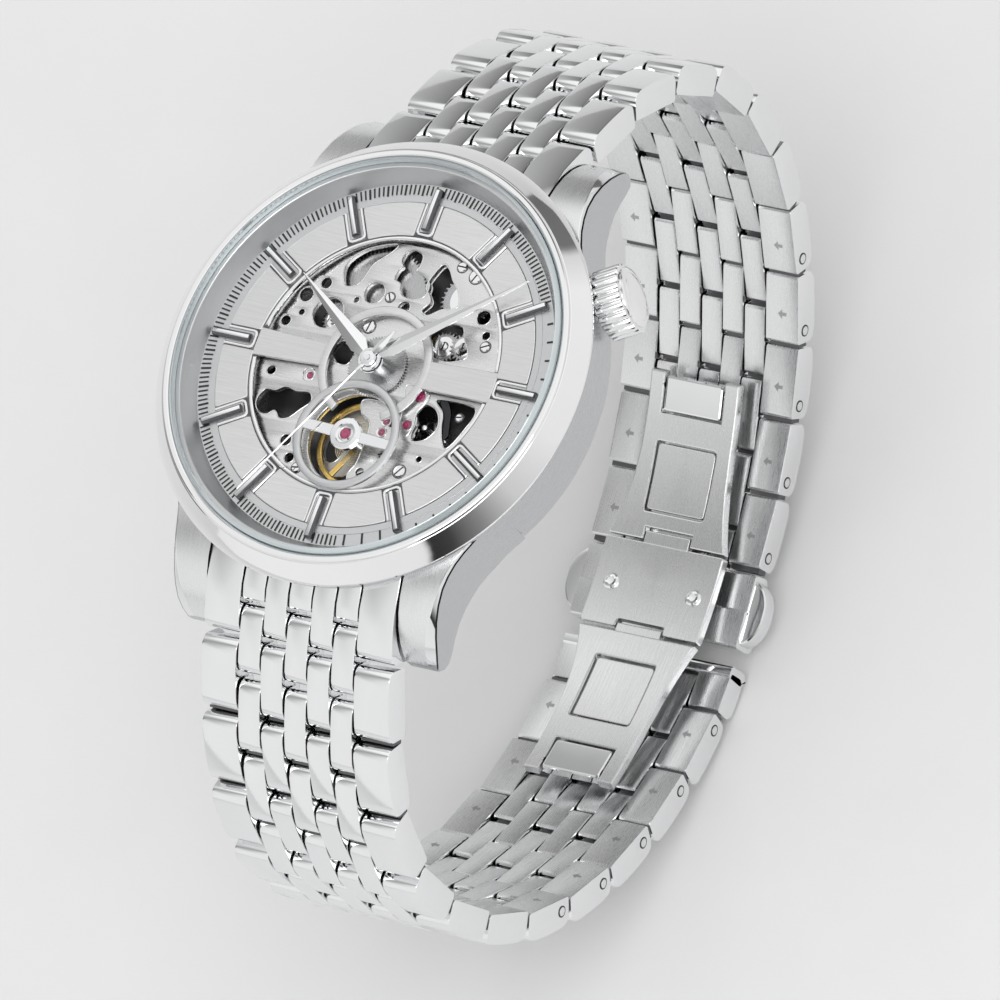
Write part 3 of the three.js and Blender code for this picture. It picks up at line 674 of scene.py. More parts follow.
# ---- clasp -------------------------------------------------------------------------------------
CLASP_AXIS = Vector((-1.72, -12.6))
CLASP_R = 45.6
CLASP_TURN = 5.3
CENTRE_HALF = 4.2
FRAME_FROM = 4.45
FRAME_TO = 20.0
FRAME_EDGE = ((4.45, 6.2), (5.5, 5.85), (7.5, 5.35), (10, 4.95), (13, 4.75), (17, 4.7), (20, 4.7))
WINDOW = (7.05, 13.6)
NOTCH_FROM = 16.2
WINDOW_HALF = 3.2
TONGUE_HALF = 3.05
KNUCKLE_HALF = 2.38
KNUCKLE_ROOM = 2.5
SHEET_HALF = 0.5
HINGE_R = 0.5
HINGE_REACH = 4.6
CUT_STEP = 1.5


def clasp_point(s, v):
    a = math.radians(CLASP_TURN) + s / CLASP_R
    return (CLASP_AXIS.x + (CLASP_R - v) * math.sin(a), CLASP_AXIS.y - (CLASP_R - v) * math.cos(a))


def clasp_sheet(outlines, v0, v1, edge=0.1):
    """Plate drawn flat in (x, s) and laid on the clasp's arc."""
    part = flat([[(x, s) for s, x in line] for line in outlines], v0, v1, edge)
    for k in range(-14, 15):
        bmesh.ops.bisect_plane(part, geom=part.verts[:] + part.edges[:] + part.faces[:],
                               plane_co=(0, CUT_STEP * k, 0), plane_no=(0, 1, 0), dist=1e-5)
    return lay(part, clasp_point)


def knuckle(piece, s0, s1):
    piece.add(clasp_sheet([box_outline(s0, s1, KNUCKLE_HALF, 0.15)], -0.44, 0.44, 0.12), SATIN_Y)


def box_outline(s0, s1, half, r=0.35):
    return rounded(box(s0, s1, -half, half), r)


def clasp_frame(side):
    s = 1 if side == 12 else -1
    edge = [(s * a, h) for a, h in FRAME_EDGE]
    outer = edge + [(a, -h) for a, h in reversed(edge)]
    gap = box(s * FRAME_TO, s * NOTCH_FROM, WINDOW_HALF, -WINDOW_HALF)
    outline = outer[:len(edge)] + gap + outer[len(edge):]
    if side == 12:
        near = edge[0][0]
        outline += box(near, 5.6, -KNUCKLE_ROOM, KNUCKLE_ROOM)
    window = box_outline(s * WINDOW[0], s * WINDOW[1], WINDOW_HALF)
    body = f"clasp_frame_{side}"
    piece = Piece(body + "_blade", body)
    piece.add(clasp_sheet([outline, window], -SHEET_HALF, SHEET_HALF, 0.14), SATIN_Y)
    for at in (FRAME_FROM + 0.45, FRAME_TO - 1.2):
        for x0, x1 in ((-HINGE_REACH, -WINDOW_HALF), (WINDOW_HALF, HINGE_REACH)):
            piece.add(rod_x(*clasp_point(s * at, 0), HINGE_R, x0, x1, 0.08), POLISH)
    if side == 6:
        knuckle(piece, -4.7, -3.65)
    piece.finish([body])


def clasp_tongue(side):
    s = 1 if side == 12 else -1
    piece = Piece(f"clasp_tongue_{side}_blade", LAST_BODIES[side])
    for s0, s1, v0, v1, edge, material in (
            (WINDOW[0] + 0.22, WINDOW[1] - 0.22, -0.6, 0.25, 0.1, SATIN_Y),
            (NOTCH_FROM + 0.2, FRAME_TO - 0.35, -0.7, 0.45, 0.2, POLISH),
            (4.75, FRAME_TO - 1.8, -1.2, -0.68, 0.1, SATIN_Y)):
        piece.add(clasp_sheet([box_outline(s * s0, s * s1, TONGUE_HALF)], v0, v1, edge), material)
    piece.finish([f"clasp_tongue_{side}"])


def clasp_centre():
    piece = Piece("clasp_centre_shell", "clasp_centre")
    half = 6.3
    end = 0.1 - CENTRE_HALF
    slot = -3.3
    outline = rounded(box(end, CENTRE_HALF, -half, half) + box(end, slot, KNUCKLE_ROOM, -KNUCKLE_ROOM), 0.3)
    piece.add(clasp_sheet([outline], -SHEET_HALF, SHEET_HALF, 0.13), SATIN_Y)
    y, z = clasp_point(0, SHEET_HALF)
    for x in (-4.4, 4.4):
        rivet = turned([(0, -0.1), (0.78, -0.1), (0.78, 0.1), (0.6, 0.26), (0.42, 0.3), (0.36, 0.18),
                        (0, 0.16)], 32)
        piece.add(rivet, POLISH, shift(x, y, z))
    knuckle(piece, CENTRE_HALF - 0.2, CENTRE_HALF + 1.1)
    piece.finish(["clasp_centre_plate"])


def clasp_last(side, node, length):
    body = LAST_BODIES[side]
    place = Along(hinge(body), unit(CLOSING_ANGLE[side]), side)
    cols = columns(WIDTH_AT_CLASP)
    piece = Piece(node + "_shell", body)
    finger = crowned(-1.5, 2.6, 1.45, -1.3, 1.1)
    for span in cols[::2]:
        plate_bar(piece, place, finger, *span)
    block = crowned(1.85, length, 1.6, -1.5, 0.7)
    plate_bar(piece, place, block, cols[0][0], cols[6][1])
    if side == 12:
        button = rounded([(8.5, -1.2), (9.9, -0.4), (10.6, 1.1), (10.6, 3.1), (9.9, 4.6), (8.5, 5.4)], 1.1)
        for sign in (1, -1):
            part = flat([[(sign * x, u) for x, u in button]], -1.05, 0.85, 0.3, 3)
            piece.add(lay(part, place), POLISH)
    piece.add(rod_x(*place(0, 0), HINGE_R, -6, 6), SATIN_X)
    piece.finish([node])


# ---- case --------------------------------------------------------------------------------------
LUG_GAP = 10.1
CASE_R_TOP = 20.9
CROWN_TURN = 30
# stations along a lug: y, top, underside, x where the top ends, x of the flank, drop of the polished edge
LUG_STATIONS = ((11.0, -0.72, -6.4, 17.15, 17.35, 0.25), (12.0, -0.73, -6.4, 16.45, 16.7, 0.25),
                (13.0, -0.74, -6.4, 15.85, 16.1, 0.27), (14.0, -0.76, -6.4, 15.36, 15.62, 0.28),
                (15.0, -0.78, -6.4, 14.84, 15.12, 0.3), (16.2, -0.84, -6.4, 14.34, 14.64, 0.32),
                (17.4, -0.92, -6.4, 14.02, 14.34, 0.34), (18.6, -1.12, -6.45, 13.78, 14.12, 0.38),
                (20.0, -1.62, -6.6, 13.5, 13.97, 0.46), (21.3, -2.35, -7.0, 13.22, 13.88, 0.55),
                (22.4, -3.25, -7.45, 12.95, 13.82, 0.62), (23.3, -4.35, -7.75, 12.7, 13.72, 0.62),
                (23.9, -5.45, -7.8, 12.5, 13.5, 0.55), (24.25, -6.5, -7.5, 12.35, 13.25, 0.4))


def lug(piece, sx, sy):
    """Lug lofted from its stations: brushed top, broad polished edge, flank that follows the case."""
    part = bmesh.new()
    sections = []
    for y, top, under, edge, flank, drop in LUG_STATIONS:
        groove = flank - 0.13
        line = [(LUG_GAP, top), (edge, top), (edge + 0.1, top - 0.04 * drop), (groove, top - 0.75 * drop),
                (groove + 0.03, top - drop - 0.1), (flank, top - drop), (flank - 0.03, under + 0.3),
                (flank - 0.3, under), (LUG_GAP + 0.15, under), (LUG_GAP, under + 0.15)]
        sections.append([part.verts.new((x, y, z)) for x, z in line])
    top_slot, edge_slot, flank_slot = (piece.slot(m) for m in (SATIN_Y, POLISH, FLANK))
    # the steep band in the groove gets DARK: painted shade and painted dark reflection; the flank bands get
    # the darker FLANK steel, painted shade
    slots = [top_slot] + [edge_slot] * 2 + [piece.slot(DARK)] + [flank_slot] * 6
    for a, b in zip(sections, sections[1:]):
        for k, material in enumerate(slots):
            m = (k + 1) % len(slots)
            part.faces.new((a[k], a[m], b[m], b[k])).material_index = material
    part.faces.new(sections[0]).material_index = flank_slot
    part.faces.new(sections[-1]).material_index = flank_slot
    part.transform(Matrix.Diagonal((sx, sy, 1, 1)))
    piece.add(part, None)


def case_middle():
    piece = Piece("case_shell", "watch_head")
    wall = [(17.65, -6.5), (19.6, -6.5), (19.95, -6.42), (20.2, -6.1), (20.45, -4.2), (20.85, -1.1),
            (CASE_R_TOP, -0.8), (CASE_R_TOP - 0.05, -0.66), (CASE_R_TOP - 0.2, -0.55), (17.65, -0.55)]
    # case side in the darker FLANK steel: painted shade
    piece.add(turned(wall, 240), FLANK)
    for sx in (1, -1):
        for sy in (1, -1):
            lug(piece, sx, sy)
    tube = turned(box(0.75, 1.3, 17.8, 21.9), 40)
    piece.add(tube, POLISH, crown_place())
    piece.finish(["case_middle"], 24)


def crown_place():
    """Turns a body of revolution onto the crown's axis."""
    return shift(0, 0, -3.3) @ spin(CROWN_TURN) @ Matrix.Rotation(math.pi / 2, 4, "Y")


def bezel():
    piece = Piece("bezel_polished", "watch_head")
    rings = [(19.08, -0.5), (20.78, -0.5), (20.82, -0.2), (20.9, -0.1), (21.26, 0.02), (21.35, 0.12),
             (21.35, 0.27),
             (21.3, 0.36), (20.95, 0.8), (20.5, 1.27), (19.97, 1.83), (19.9, 1.86), (19.86, 1.94),
             (19.8, 2.04), (19.7, 2.1), (19.36, 2.1), (19.24, 2.05), (19.1, 1.9), (19.08, 1.7)]
    piece.add(turned(rings, 256), MIRROR)
    piece.finish(["bezel"], angle=22)


def crystal():
    piece = Piece("crystal_sapphire", "watch_head")
    piece.add(turned(box(0, 18.7, 1.75, 2.6), 200), CRYSTAL)
    piece.add(turned([(18.72, 1.75), (19.05, 1.75), (19.05, 2.2), (19.0, 2.3), (18.8, 2.54), (18.72, 2.58)],
                     200), RIM)
    piece.finish(["crystal"])


def crown():
    piece = Piece("crown_fluted", "crown")
    flutes = 20
    radius, depth, inner, outer = 3.25, 0.34, 21.0, 23.75
    line = []
    for k in range(flutes * 8):
        a = 2 * math.pi * k / (flutes * 8)
        wave = abs(math.cos(flutes * a / 2)) ** 0.6
        r = radius - depth * (1 - wave)
        line.append((r * math.cos(a), r * math.sin(a)))
    grip = flat([line, circle(0, 0, 1.45, 40)], inner, outer, 0.16, 3)
    piece.add(grip, POLISH, crown_place())
    cap = [(1.0, 23.4), (2.8, 23.4), (2.8, 23.95), (2.66, 24.1), (2.3, 24.2), (2.2, 24.14), (2.1, 24.24),
           (1.4, 24.4), (0.6, 24.48), (0, 24.5), (0, 23.4)]
    piece.add(turned(cap, 96), MIRROR, crown_place())
    piece.finish(["crown"], angle=35)


# ---- dial --------------------------------------------------------------------------------------
MARKS = 240
MARK_Z = -0.11
DIAL_UNDER = -0.42


def minute_track():
    piece = Piece("minute_track", "watch_head")
    ring = [(16.2, -0.3), (16.2, -0.12), (17.4, -0.12), (17.46, -0.04), (18.28, 1.64), (18.36, 1.7),
            (19.0, 1.7), (19.0, -0.48), (17.6, -0.48), (17.6, -0.3)]
    piece.add(turned(ring, 200), TRACK)
    for k in range(MARKS):
        turn = 360 / MARKS * k
        whole = k % 4 == 0
        if k % 20 == 0:
            continue
        dense = not 60 <= turn <= 170
        if not dense and not whole:
            continue
        near = (16.05 if whole else 16.4) if dense else (16.75 if turn < 150 else 16.2)
        half = 0.075 if dense and not whole else 0.095
        mark = flat([box(near, 17.32, -half, half)], MARK_Z, MARK_Z + 0.03, 0.005, 1)
        piece.add(mark, BLACK, spin(90 - turn))
    piece.finish(["minute_ring"], 20)


BALANCE_Y = -6.95
BALANCE_RING = 5.2
DIAL_R = 16.3
OPENING_R = 12.0
RING_OUT = 5.6
RING_IN = 4.8
BATON_FIELD = 15.62


def panel(r0, r1, clear_of_line):
    """Field between two batons, its sides parallel to them."""
    side0, side1 = (math.degrees(math.asin(clear_of_line / r)) for r in (r0, r1))
    return arc(r1, side1, 30 - side1, 14) + arc(r0, 30 - side0, side0, 14)


def dial():
    piece = Piece("dial_openwork", "watch_head")
    gap = math.degrees(2 * math.asin(4.85 / 2 / 5.4)) + 2  # degrees left open for the balance bridge
    # dark base under the panels, showing as thin dark lines round them: painted shade
    piece.add(flat([circle(0, 0, DIAL_R, 160), circle(0, 0, OPENING_R, 160)], DIAL_UNDER, -0.12, 0.05), SHADE)
    for a in (0, 180):
        piece.add(flat([sector(OPENING_R, OPENING_R + 0.34, a + 7.2, a + 172.8, 90)], -0.3, -0.02, 0.07, 3),
                  MIRROR)
    piece.add(flat([circle(0, 0, DIAL_R, 160), circle(0, 0, BATON_FIELD + 0.04, 160)], -0.3, -0.06, 0.02, 1),
              TRACK)
    piece.add(flat([circle(0, 0, 17.4, 160), circle(0, 0, 15.9, 160)], DIAL_UNDER, -0.34, 0.02, 1), TRACK)
    ring = arc(RING_OUT, -90 + gap / 2, 270 - gap / 2, 80) + arc(RING_IN, 270 - gap / 2, -90 + gap / 2, 80)
    piece.add(flat([ring], DIAL_UNDER, 0.0, 0.12, 3), DIAL)
    left = [(-12.46, -1.35), (-5.3, -1.08), (-5.3, 1.02), (-12.46, 1.28)]
    right = [(5.3, -1.35), (12.46, -1.4), (12.46, 1.5), (5.3, 1.3)]
    for arm in (left, right):
        piece.add(flat([arm], DIAL_UNDER, -0.01, 0.06), DIAL)
    for hour in range(12):
        turn = spin(30 * hour)
        piece.add(flat([rounded(panel(12.42, BATON_FIELD, 0.98), 0.25, 2)], -0.2, 0.05, 0.07), DIAL, turn)
        outer = [(BATON_FIELD, 0.9)] + arc(0.45, 90, 180, 5, 12.98, 0.45) + arc(0.45, 180, 270, 5, 12.98,
                                                                          -0.45) + [(BATON_FIELD, -0.9)]
        inner = [(BATON_FIELD, 0.64)] + arc(0.3, 90, 180, 4, 13.08, 0.34) + arc(0.3, 180, 270, 4, 13.08,
                                                                          -0.34) + [(BATON_FIELD, -0.64)]
        piece.add(flat([box(12.9, BATON_FIELD, -0.7, 0.7)], -0.2, -0.06, 0.02, 1), TRACK, turn)
        piece.add(flat([outer + inner[::-1]], -0.2, 0.1, 0.07), MIRROR, turn)
        # baton body with dark sloping sides under a polished top: painted shade and painted dark reflection
        baton_shade_body = [(-0.37, -0.1), (-0.37, 0.26), (-0.2, 0.46), (0.2, 0.46), (0.37, 0.26), (0.37, -0.1)]
        piece.add(bar_x(baton_shade_body, 13.05, 16.98, 0.02), SHADE, turn)
        piece.add(bar_x([(-0.2, 0.4), (-0.17, 0.49), (0.17, 0.49), (0.2, 0.4)], 13.1, 16.9, 0.02), MIRROR,
                  turn)
    piece.finish(["dial"])


# ---- hands -------------------------------------------------------------------------------------
def dauphine(length, base, z0, z1, near=0.9):
    """Tapered hand with a ridge: two sloping facets that meet on the middle line."""
    part = bmesh.new()
    rim = [(-0.3, near), (-base, near + 1.3), (-0.05, length), (0.05, length), (base, near + 1.3),
           (0.3, near)]
    low = [part.verts.new((x, y, z0)) for x, y in rim]
    side = [part.verts.new((x, y, z0 + 0.3 * (z1 - z0))) for x, y in rim]
    ridge = [part.verts.new((0, near, z1)), part.verts.new((0, near + 1.3, z1)),
             part.verts.new((0, length - 0.1, z1))]
    part.faces.new(low)
    for i in range(6):
        j = (i + 1) % 6
        part.faces.new((low[i], low[j], side[j], side[i]))
    part.faces.new((side[0], side[1], ridge[1], ridge[0]))
    part.faces.new((side[1], side[2], ridge[2], ridge[1]))
    part.faces.new((side[2], side[3], ridge[2]))
    part.faces.new((side[3], side[4], ridge[1], ridge[2]))
    part.faces.new((side[4], side[5], ridge[0], ridge[1]))
    part.faces.new((side[5], side[0], ridge[0]))
    bmesh.ops.recalc_face_normals(part, faces=part.faces)
    return part


HAND_BORE = 0.3


def boss(r, z0, z1):
    return turned([(HAND_BORE, z0), (r, z0), (r, z1 - 0.06), (r - 0.06, z1), (HAND_BORE, z1)], 64)


HANDS = {"hour": 304.3, "minute": 51.5, "second": 209}


def hands():
    hour = Piece("hour_hand_polished", "hours")
    hour.add(dauphine(12, 0.86, 0.72, 0.94), MIRROR, spin(-HANDS["hour"]))
    hour.add(boss(1.25, 0.72, 0.92), POLISH)
    hour.finish(["hour_hand"], angle=10)
    minute = Piece("minute_hand_polished", "minutes")
    minute.add(dauphine(16.2, 0.76, 1.04, 1.24), MIRROR, spin(-HANDS["minute"]))
    minute.add(boss(1.1, 1.04, 1.22), POLISH)
    minute.finish(["minute_hand"], angle=10)
    second = Piece("seconds_hand_polished", "seconds")
    second.add(dauphine(16.4, 0.1, 1.36, 1.46, 0.3), MIRROR, spin(-HANDS["second"]))
    second.add(dauphine(3.4, 0.42, 1.36, 1.5, 0.5), MIRROR, spin(180 - HANDS["second"]))
    second.add(turned([(0, 1.3), (0.75, 1.3), (0.75, 1.46), (0.66, 1.54), (0.3, 1.56), (0.26, 1.66),
                       (0, 1.66)], 64), POLISH)
    second.add(turned(box(0, 0.24, -4.3, 1.3), 24), POLISH)
    second.finish(["seconds_hand"], angle=10)


# ---- movement ----------------------------------------------------------------------------------
PLATE_TOP = -0.85
COCK_TOP = -1.45
PLATE_R = 12.5
WALL_R = 12.3
SUNK_JEWEL = (-6.63, -1.87)
ARBOR_FOOT = -4.05
ARBOR_HEAD = -1.55
DARK_HOLES = ((-9.84, 5.34, 0.69), (-8.3, 6.76, 0.55), (-9.65, 3.66, 0.32), (-10.9, 2.61, 0.5),
              (-10.45, -2.18, 0.46),
              (-6.41, -8.27, 0.57), (-5.43, -9.8, 0.5), (-4.72, 5.78, 0.3), (7.31, -7.51, 0.32),
              (9.3, 4.9, 0.42), (-3.23, 6.75, 1.05), (0.2, 5.95, 0.62), (8.4, 6.5, 0.7), (*SUNK_JEWEL, 0.64))
WINDOWS = {
    "keyhole": [(-0.8, 11.4), (0.15, 11.0), (0.25, 10.1), (0.1, 9.5), (0.95, 9.2), (1.8, 8.5), (1.8, 7.4),
                (1.0, 6.9),
                (-0.1, 6.9), (-0.8, 7.4), (-1.1, 8.1), (-1.8, 8.4), (-1.75, 9.2), (-1.45, 9.7), (-1.8, 10.2),
                (-1.6, 11.0)],
    "train": [(1.6, 8.3), (2.0, 9.9), (2.6, 10.7), (3.4, 10.2), (4.0, 9.4), (4.9, 8.5), (5.5, 7.2),
              (4.9, 6.6), (4.0, 6.4), (2.8, 5.6), (2.0, 6.0), (2.5, 7.0)],
    "barrel": [(-6.6, 7.1), (-7.1, 8.8), (-6.0, 10.3), (-4.5, 11.1), (-2.8, 11.6), (-2.8, 11.1), (-3.5, 10.3),
               (-4.4, 9.3), (-5.0, 7.5), (-5.8, 6.9)],
    "click": [(-8.3, 4.9), (-7.3, 5.6), (-6.1, 5.3), (-5.5, 4.3), (-5.9, 3.2), (-6.8, 2.6), (-7.9, 2.8),
              (-8.6, 3.8)],
    "lobes": [(-10.8, -5.1), (-10.3, -4.0), (-9.3, -3.9), (-8.4, -3.4), (-7.2, -3.6), (-5.9, -3.5),
              (-5.4, -4.3),
              (-6.2, -5.3), (-7.0, -6.2), (-7.9, -6.4), (-8.6, -5.8), (-9.4, -6.3), (-10.4, -6.0)],
    "keyless": [(3.6, 4.5), (5.0, 5.2), (6.6, 5.3), (7.3, 4.2), (8.2, 2.7), (7.2, 2.0), (5.8, 1.8),
                (4.4, 2.3)],
    "escape": [(5.1, -2.9), (6.3, -2.4), (7.5, -3.1), (7.9, -4.4), (7.2, -5.6), (6.0, -6.0), (5.6, -5.2),
               (5.7, -4.1)],
    "beside": [(-5.0, 1.3), (-4.2, 1.9), (-3.3, 1.6), (-2.9, 0.7), (-3.3, -0.3), (-4.3, -0.3), (-5.0, 0.4)],
    "lever": [(6.9, -1.75), (10.9, -1.9), (10.5, -4.3), (9.6, -6.0), (8.9, -5.5), (8.3, -4.2), (7.9, -2.9)],
}
SCREWS = ((-1.49, 6.61, 0.42), (5.88, -9.0, 0.57), (6.18, 10.06, 0.64), (-2.43, 3.56, 0.57),
          (9.66, 3.86, 0.46), (4.48, 10.69, 0.46), (-4.3, -10.6, 0.45))
JEWELS = ((5.33, -1.91, 0.41), (4.96, -4.68, 0.37), (2.51, -0.46, 0.41), (2.40, -4.52, 0.34),
          (2.32, -5.60, 0.34))
BARREL = (-3.2, 6.5)
THIRD = (3.9, 3.0)
ESCAPE = (6.2, -4.3)
PALLET = (4.6, -5.6)


def screw(piece, x, y, r, z, slot_turn):
    head = turned([(0, z - 0.3), (r, z - 0.3), (r, z + 0.1), (r - 0.07, z + 0.17), (0, z + 0.17)], 40)
    piece.add(head, MIRROR, shift(x, y))
    # the slot is a flat near-black strip and the ring round the head is dark grey: painted shade in the slot
    # and round the sunk head
    groove = flat([box(-r * 0.92, r * 0.92, -0.07, 0.07)], z + 0.1, z + 0.185, 0.01, 1)
    piece.add(groove, DARK, shift(x, y) @ spin(slot_turn))
    piece.add(turned(box(r + 0.01, r + 0.12, z - 0.1, z + 0.012), 40), SHADE,
              shift(x, y))


def jewel_in_ring(piece, x, y, r, z):
    piece.add(turned([(r, z - 0.3), (r * 1.55, z - 0.3), (r * 1.55, z + 0.03), (r * 1.45, z + 0.07),
                      (r * 1.1, z + 0.04), (r, z - 0.03)], 40), MIRROR, shift(x, y))
    stone = [(0, z - 0.3), (r, z - 0.3), (r, z + 0.0), (r * 0.85, z + 0.06), (r * 0.3, z + 0.05),
             (0, z - 0.02)]
    piece.add(turned(stone, 32), RUBY, shift(x, y))


def main_plate():
    piece = Piece("main_plate_openwork", "watch_head")
    piece.add(turned(box(WALL_R, 13.0, -4.0, -0.6), 160), PLATE)
    # dark disc under the plate so its holes read dark: painted shade
    piece.add(turned(box(0.6, WALL_R, -4.08, -3.96), 96), SHADE)
    openings = [circle(x, y, r, 28) for x, y, r in DARK_HOLES]
    openings += [blob(line) for line in WINDOWS.values()]
    balance = circle(0, BALANCE_Y, 4.3, 72)
    centre = circle(0, 0, 1.9, 48)
    piece.add(flat([circle(0, 0, PLATE_R, 120), balance, centre] + openings, -1.5, PLATE_TOP, 0.1, 3), PLATE)
    for line in openings + [balance, centre]:
        bright_rim(piece, line, PLATE_TOP - 0.04)
    for x, y, r in SCREWS:
        screw(piece, x, y, r, PLATE_TOP, 40 * x)
    for x, y, r in JEWELS[:1]:
        jewel_in_ring(piece, x, y, r, PLATE_TOP)
    jewel_in_ring(piece, *SUNK_JEWEL, 0.3, -1.2)
    piece.add(turned(box(0.46, 0.62, -1.4, -1.0), 32), MIRROR, shift(*SUNK_JEWEL))
    small_wheels(piece)
    well(piece)
    piece.finish(["main_plate"])


SMALL_WHEELS = ((4.9, 3.5, 1.5, 22, -2.0), (7.0, 3.7, 1.4, 20, -1.7), (5.2, 8.2, 2.6, 34, -2.3),
                (-6.9, 4.1, 1.5, 22, -2.4))


def small_wheels(piece):
    """Steel wheels of the winding and setting works, behind the windows of the plate."""
    for x, y, r, teeth, top in SMALL_WHEELS:
        piece.add(toothed(x, y, teeth, r, r - 0.28, top - 0.3, top, [circle(0, 0, 0.3 * r, 24)]), WHEEL)
        piece.add(turned(box(0.3 * r, 0.62 * r, top - 0.3, top + 0.08), 40),
                  MIRROR, shift(x, y))
        screw(piece, x, y, 0.26 * r, top + 0.05, 25 * y)


def well(piece):
    """Floor seen behind the balance and the sunk bridges beside it."""
    oval = blob([(-2.0, -10.2), (-1.0, -9.75), (0.1, -9.3), (1.0, -8.7), (2.0, -8.1), (2.6, -8.4),
                 (2.4, -9.3), (1.6, -10.1), (0.4, -10.7), (-1.0, -10.9)])
    side = blob([(-3.9, -6.0), (-3.3, -5.2), (-2.4, -5.3), (-1.9, -6.2), (-1.9, -7.6), (-2.4, -8.6),
                 (-3.3, -8.6), (-3.9, -7.6)])
    piece.add(flat([circle(0, BALANCE_Y, 4.5, 64), oval, side], -3.9, -3.3, 0.08), FROST)
    for line in (oval, side):
        bright_rim(piece, line, -3.33)
    cock = blob([(-0.7, -3.0), (1.0, -2.8), (2.4, -3.2), (3.6, -4.2), (4.1, -5.6), (4.15, -7.4), (3.7, -9.1),
                 (2.4, -10.4), (1.0, -10.9), (0.5, -10.0), (0.9, -9.0), (1.0, -8.0), (1.0, -6.0), (0.7, -4.9),
                 (-0.4, -4.2)])
    piece.add(flat([cock, circle(2.9, -4.6, 0.3, 24), circle(1.6, -9.6, 0.36, 24)], -1.8, COCK_TOP, 0.1),
              PLATE)
    bright_rim(piece, cock, COCK_TOP - 0.05)
    for x, y, r in JEWELS[3:]:
        jewel_in_ring(piece, x, y, r, COCK_TOP)
    screw(piece, 3.2, -7.6, 0.4, -1.47, 20)
    arm = blob([(3.4, -1.2), (4.4, -0.9), (5.6, -1.0), (6.1, -2.0), (5.5, -3.4), (5.6, -4.8), (5.3, -5.7),
                (4.4, -5.6), (4.1, -4.4), (3.9, -2.8)])
    piece.add(flat([arm], -1.1, PLATE_TOP + 0.12, 0.1), PLATE)
    bright_rim(piece, arm, PLATE_TOP + 0.08)
    for x, y, r in JEWELS[:2]:
        jewel_in_ring(piece, x, y, r, PLATE_TOP + 0.14)
    bar = [(6.9, -1.5), (7.5, -1.1), (8.6, -2.6), (9.2, -4.9), (8.7, -5.3), (8.0, -3.2)]
    piece.add(flat([rounded(bar, 0.3)], -1.35, -1.05, 0.06), DARK)
    screw(piece, 9.58, -2.96, 0.34, -1.1, 10)


def toothed(x, y, teeth, tip, root, z0, z1, holes=()):
    line = []
    w = 2 * math.pi / teeth
    for k in range(teeth):
        a = k * w
        line += [(root, a), (tip, a + 0.22 * w), (tip, a + 0.42 * w), (root, a + 0.64 * w)]
    outline = [(r * math.cos(a), r * math.sin(a)) for r, a in line]
    part = flat([outline, *holes], z0, z1, 0.03, 1)
    bmesh.ops.translate(part, verts=part.verts, vec=(x, y, 0))
    return part


def spoked(rim, hub, count):
    """Openings between the spokes of a wheel."""
    openings = []
    step = 360 / count
    for k in range(count):
        a = k * step
        openings.append(rounded(arc(rim, a + 8, a + step - 8, 8) + arc(hub, a + step - 22, a + 22, 4), 0.12,
                                2))
    return openings


def arbor(piece, x, y, z1=ARBOR_HEAD, r=0.25):
    profile = [(0, ARBOR_FOOT), (r, ARBOR_FOOT), (r, z1 - 0.06), (r * 0.7, z1), (0, z1)]
    piece.add(turned(profile, 24), POLISH, shift(x, y))


def wheels():
    fourth = Piece("fourth_wheel_gilt", "seconds")
    fourth.add(toothed(0, 0, 60, 2.6, 2.4, -3.2, -2.95, spoked(2.05, 0.75, 4)), GOLD)
    fourth.finish(["fourth_wheel"])
    third = Piece("third_wheel_gilt", "third_wheel")
    third.add(toothed(*THIRD, 56, 2.2, 2.02, -3.8, -3.55, spoked(1.75, 0.65, 4)), GOLD)
    arbor(third, *THIRD)
    third.finish(["third_wheel"])
    escape = Piece("escape_wheel_steel", "escape_wheel")
    escape.add(toothed(*ESCAPE, 15, 1.8, 1.35, -3.3, -3.1, spoked(1.1, 0.45, 4)), POLISH)
    arbor(escape, *ESCAPE)
    escape.finish(["escape_wheel"])
    pallet = Piece("pallet_fork_steel", "pallet_fork")
    fork = [(-0.5, -1.5), (-0.1, -1.6), (0.3, -0.25), (3.6, -0.3), (3.6, -0.12), (3.2, 0), (3.6, 0.12),
            (3.6, 0.3), (0.3, 0.25), (-0.1, 1.6), (-0.5, 1.5), (-0.3, 0)]
    pallet.add(flat([fork], -2.95, -2.75, 0.03, 1), POLISH, shift(*PALLET) @ spin(196.4))
    arbor(pallet, *PALLET, r=0.2)
    pallet.finish(["pallet_fork"])
    barrel = Piece("barrel_toothed", "barrel")
    barrel.add(toothed(*BARREL, 78, 4.9, 4.6, -2.3, -1.9), WHEEL)
    barrel.add(turned(box(0, 4.4, -3.9, -2.3), 120), WHEEL, shift(*BARREL))
    barrel.finish(["barrel"])
    pinion = Piece("cannon_pinion_steel", "minutes")
    pinion.add(turned([(0.32, -2.6), (1.6, -2.6), (1.6, -2.3), (0.42, -2.3), (0.42, 1.25), (0.32, 1.25)], 48),
               WHEEL)
    pinion.finish(["cannon_pinion"])
    hour = Piece("hour_wheel_steel", "hours")
    hour.add(toothed(0, 0, 64, 2.9, 2.72, -0.75, -0.5, [circle(0, 0, 0.5, 32)]), WHEEL)
    hour.add(turned(box(0.5, 0.72, -0.5, 0.95), 40), POLISH)
    hour.finish(["hour_wheel"])


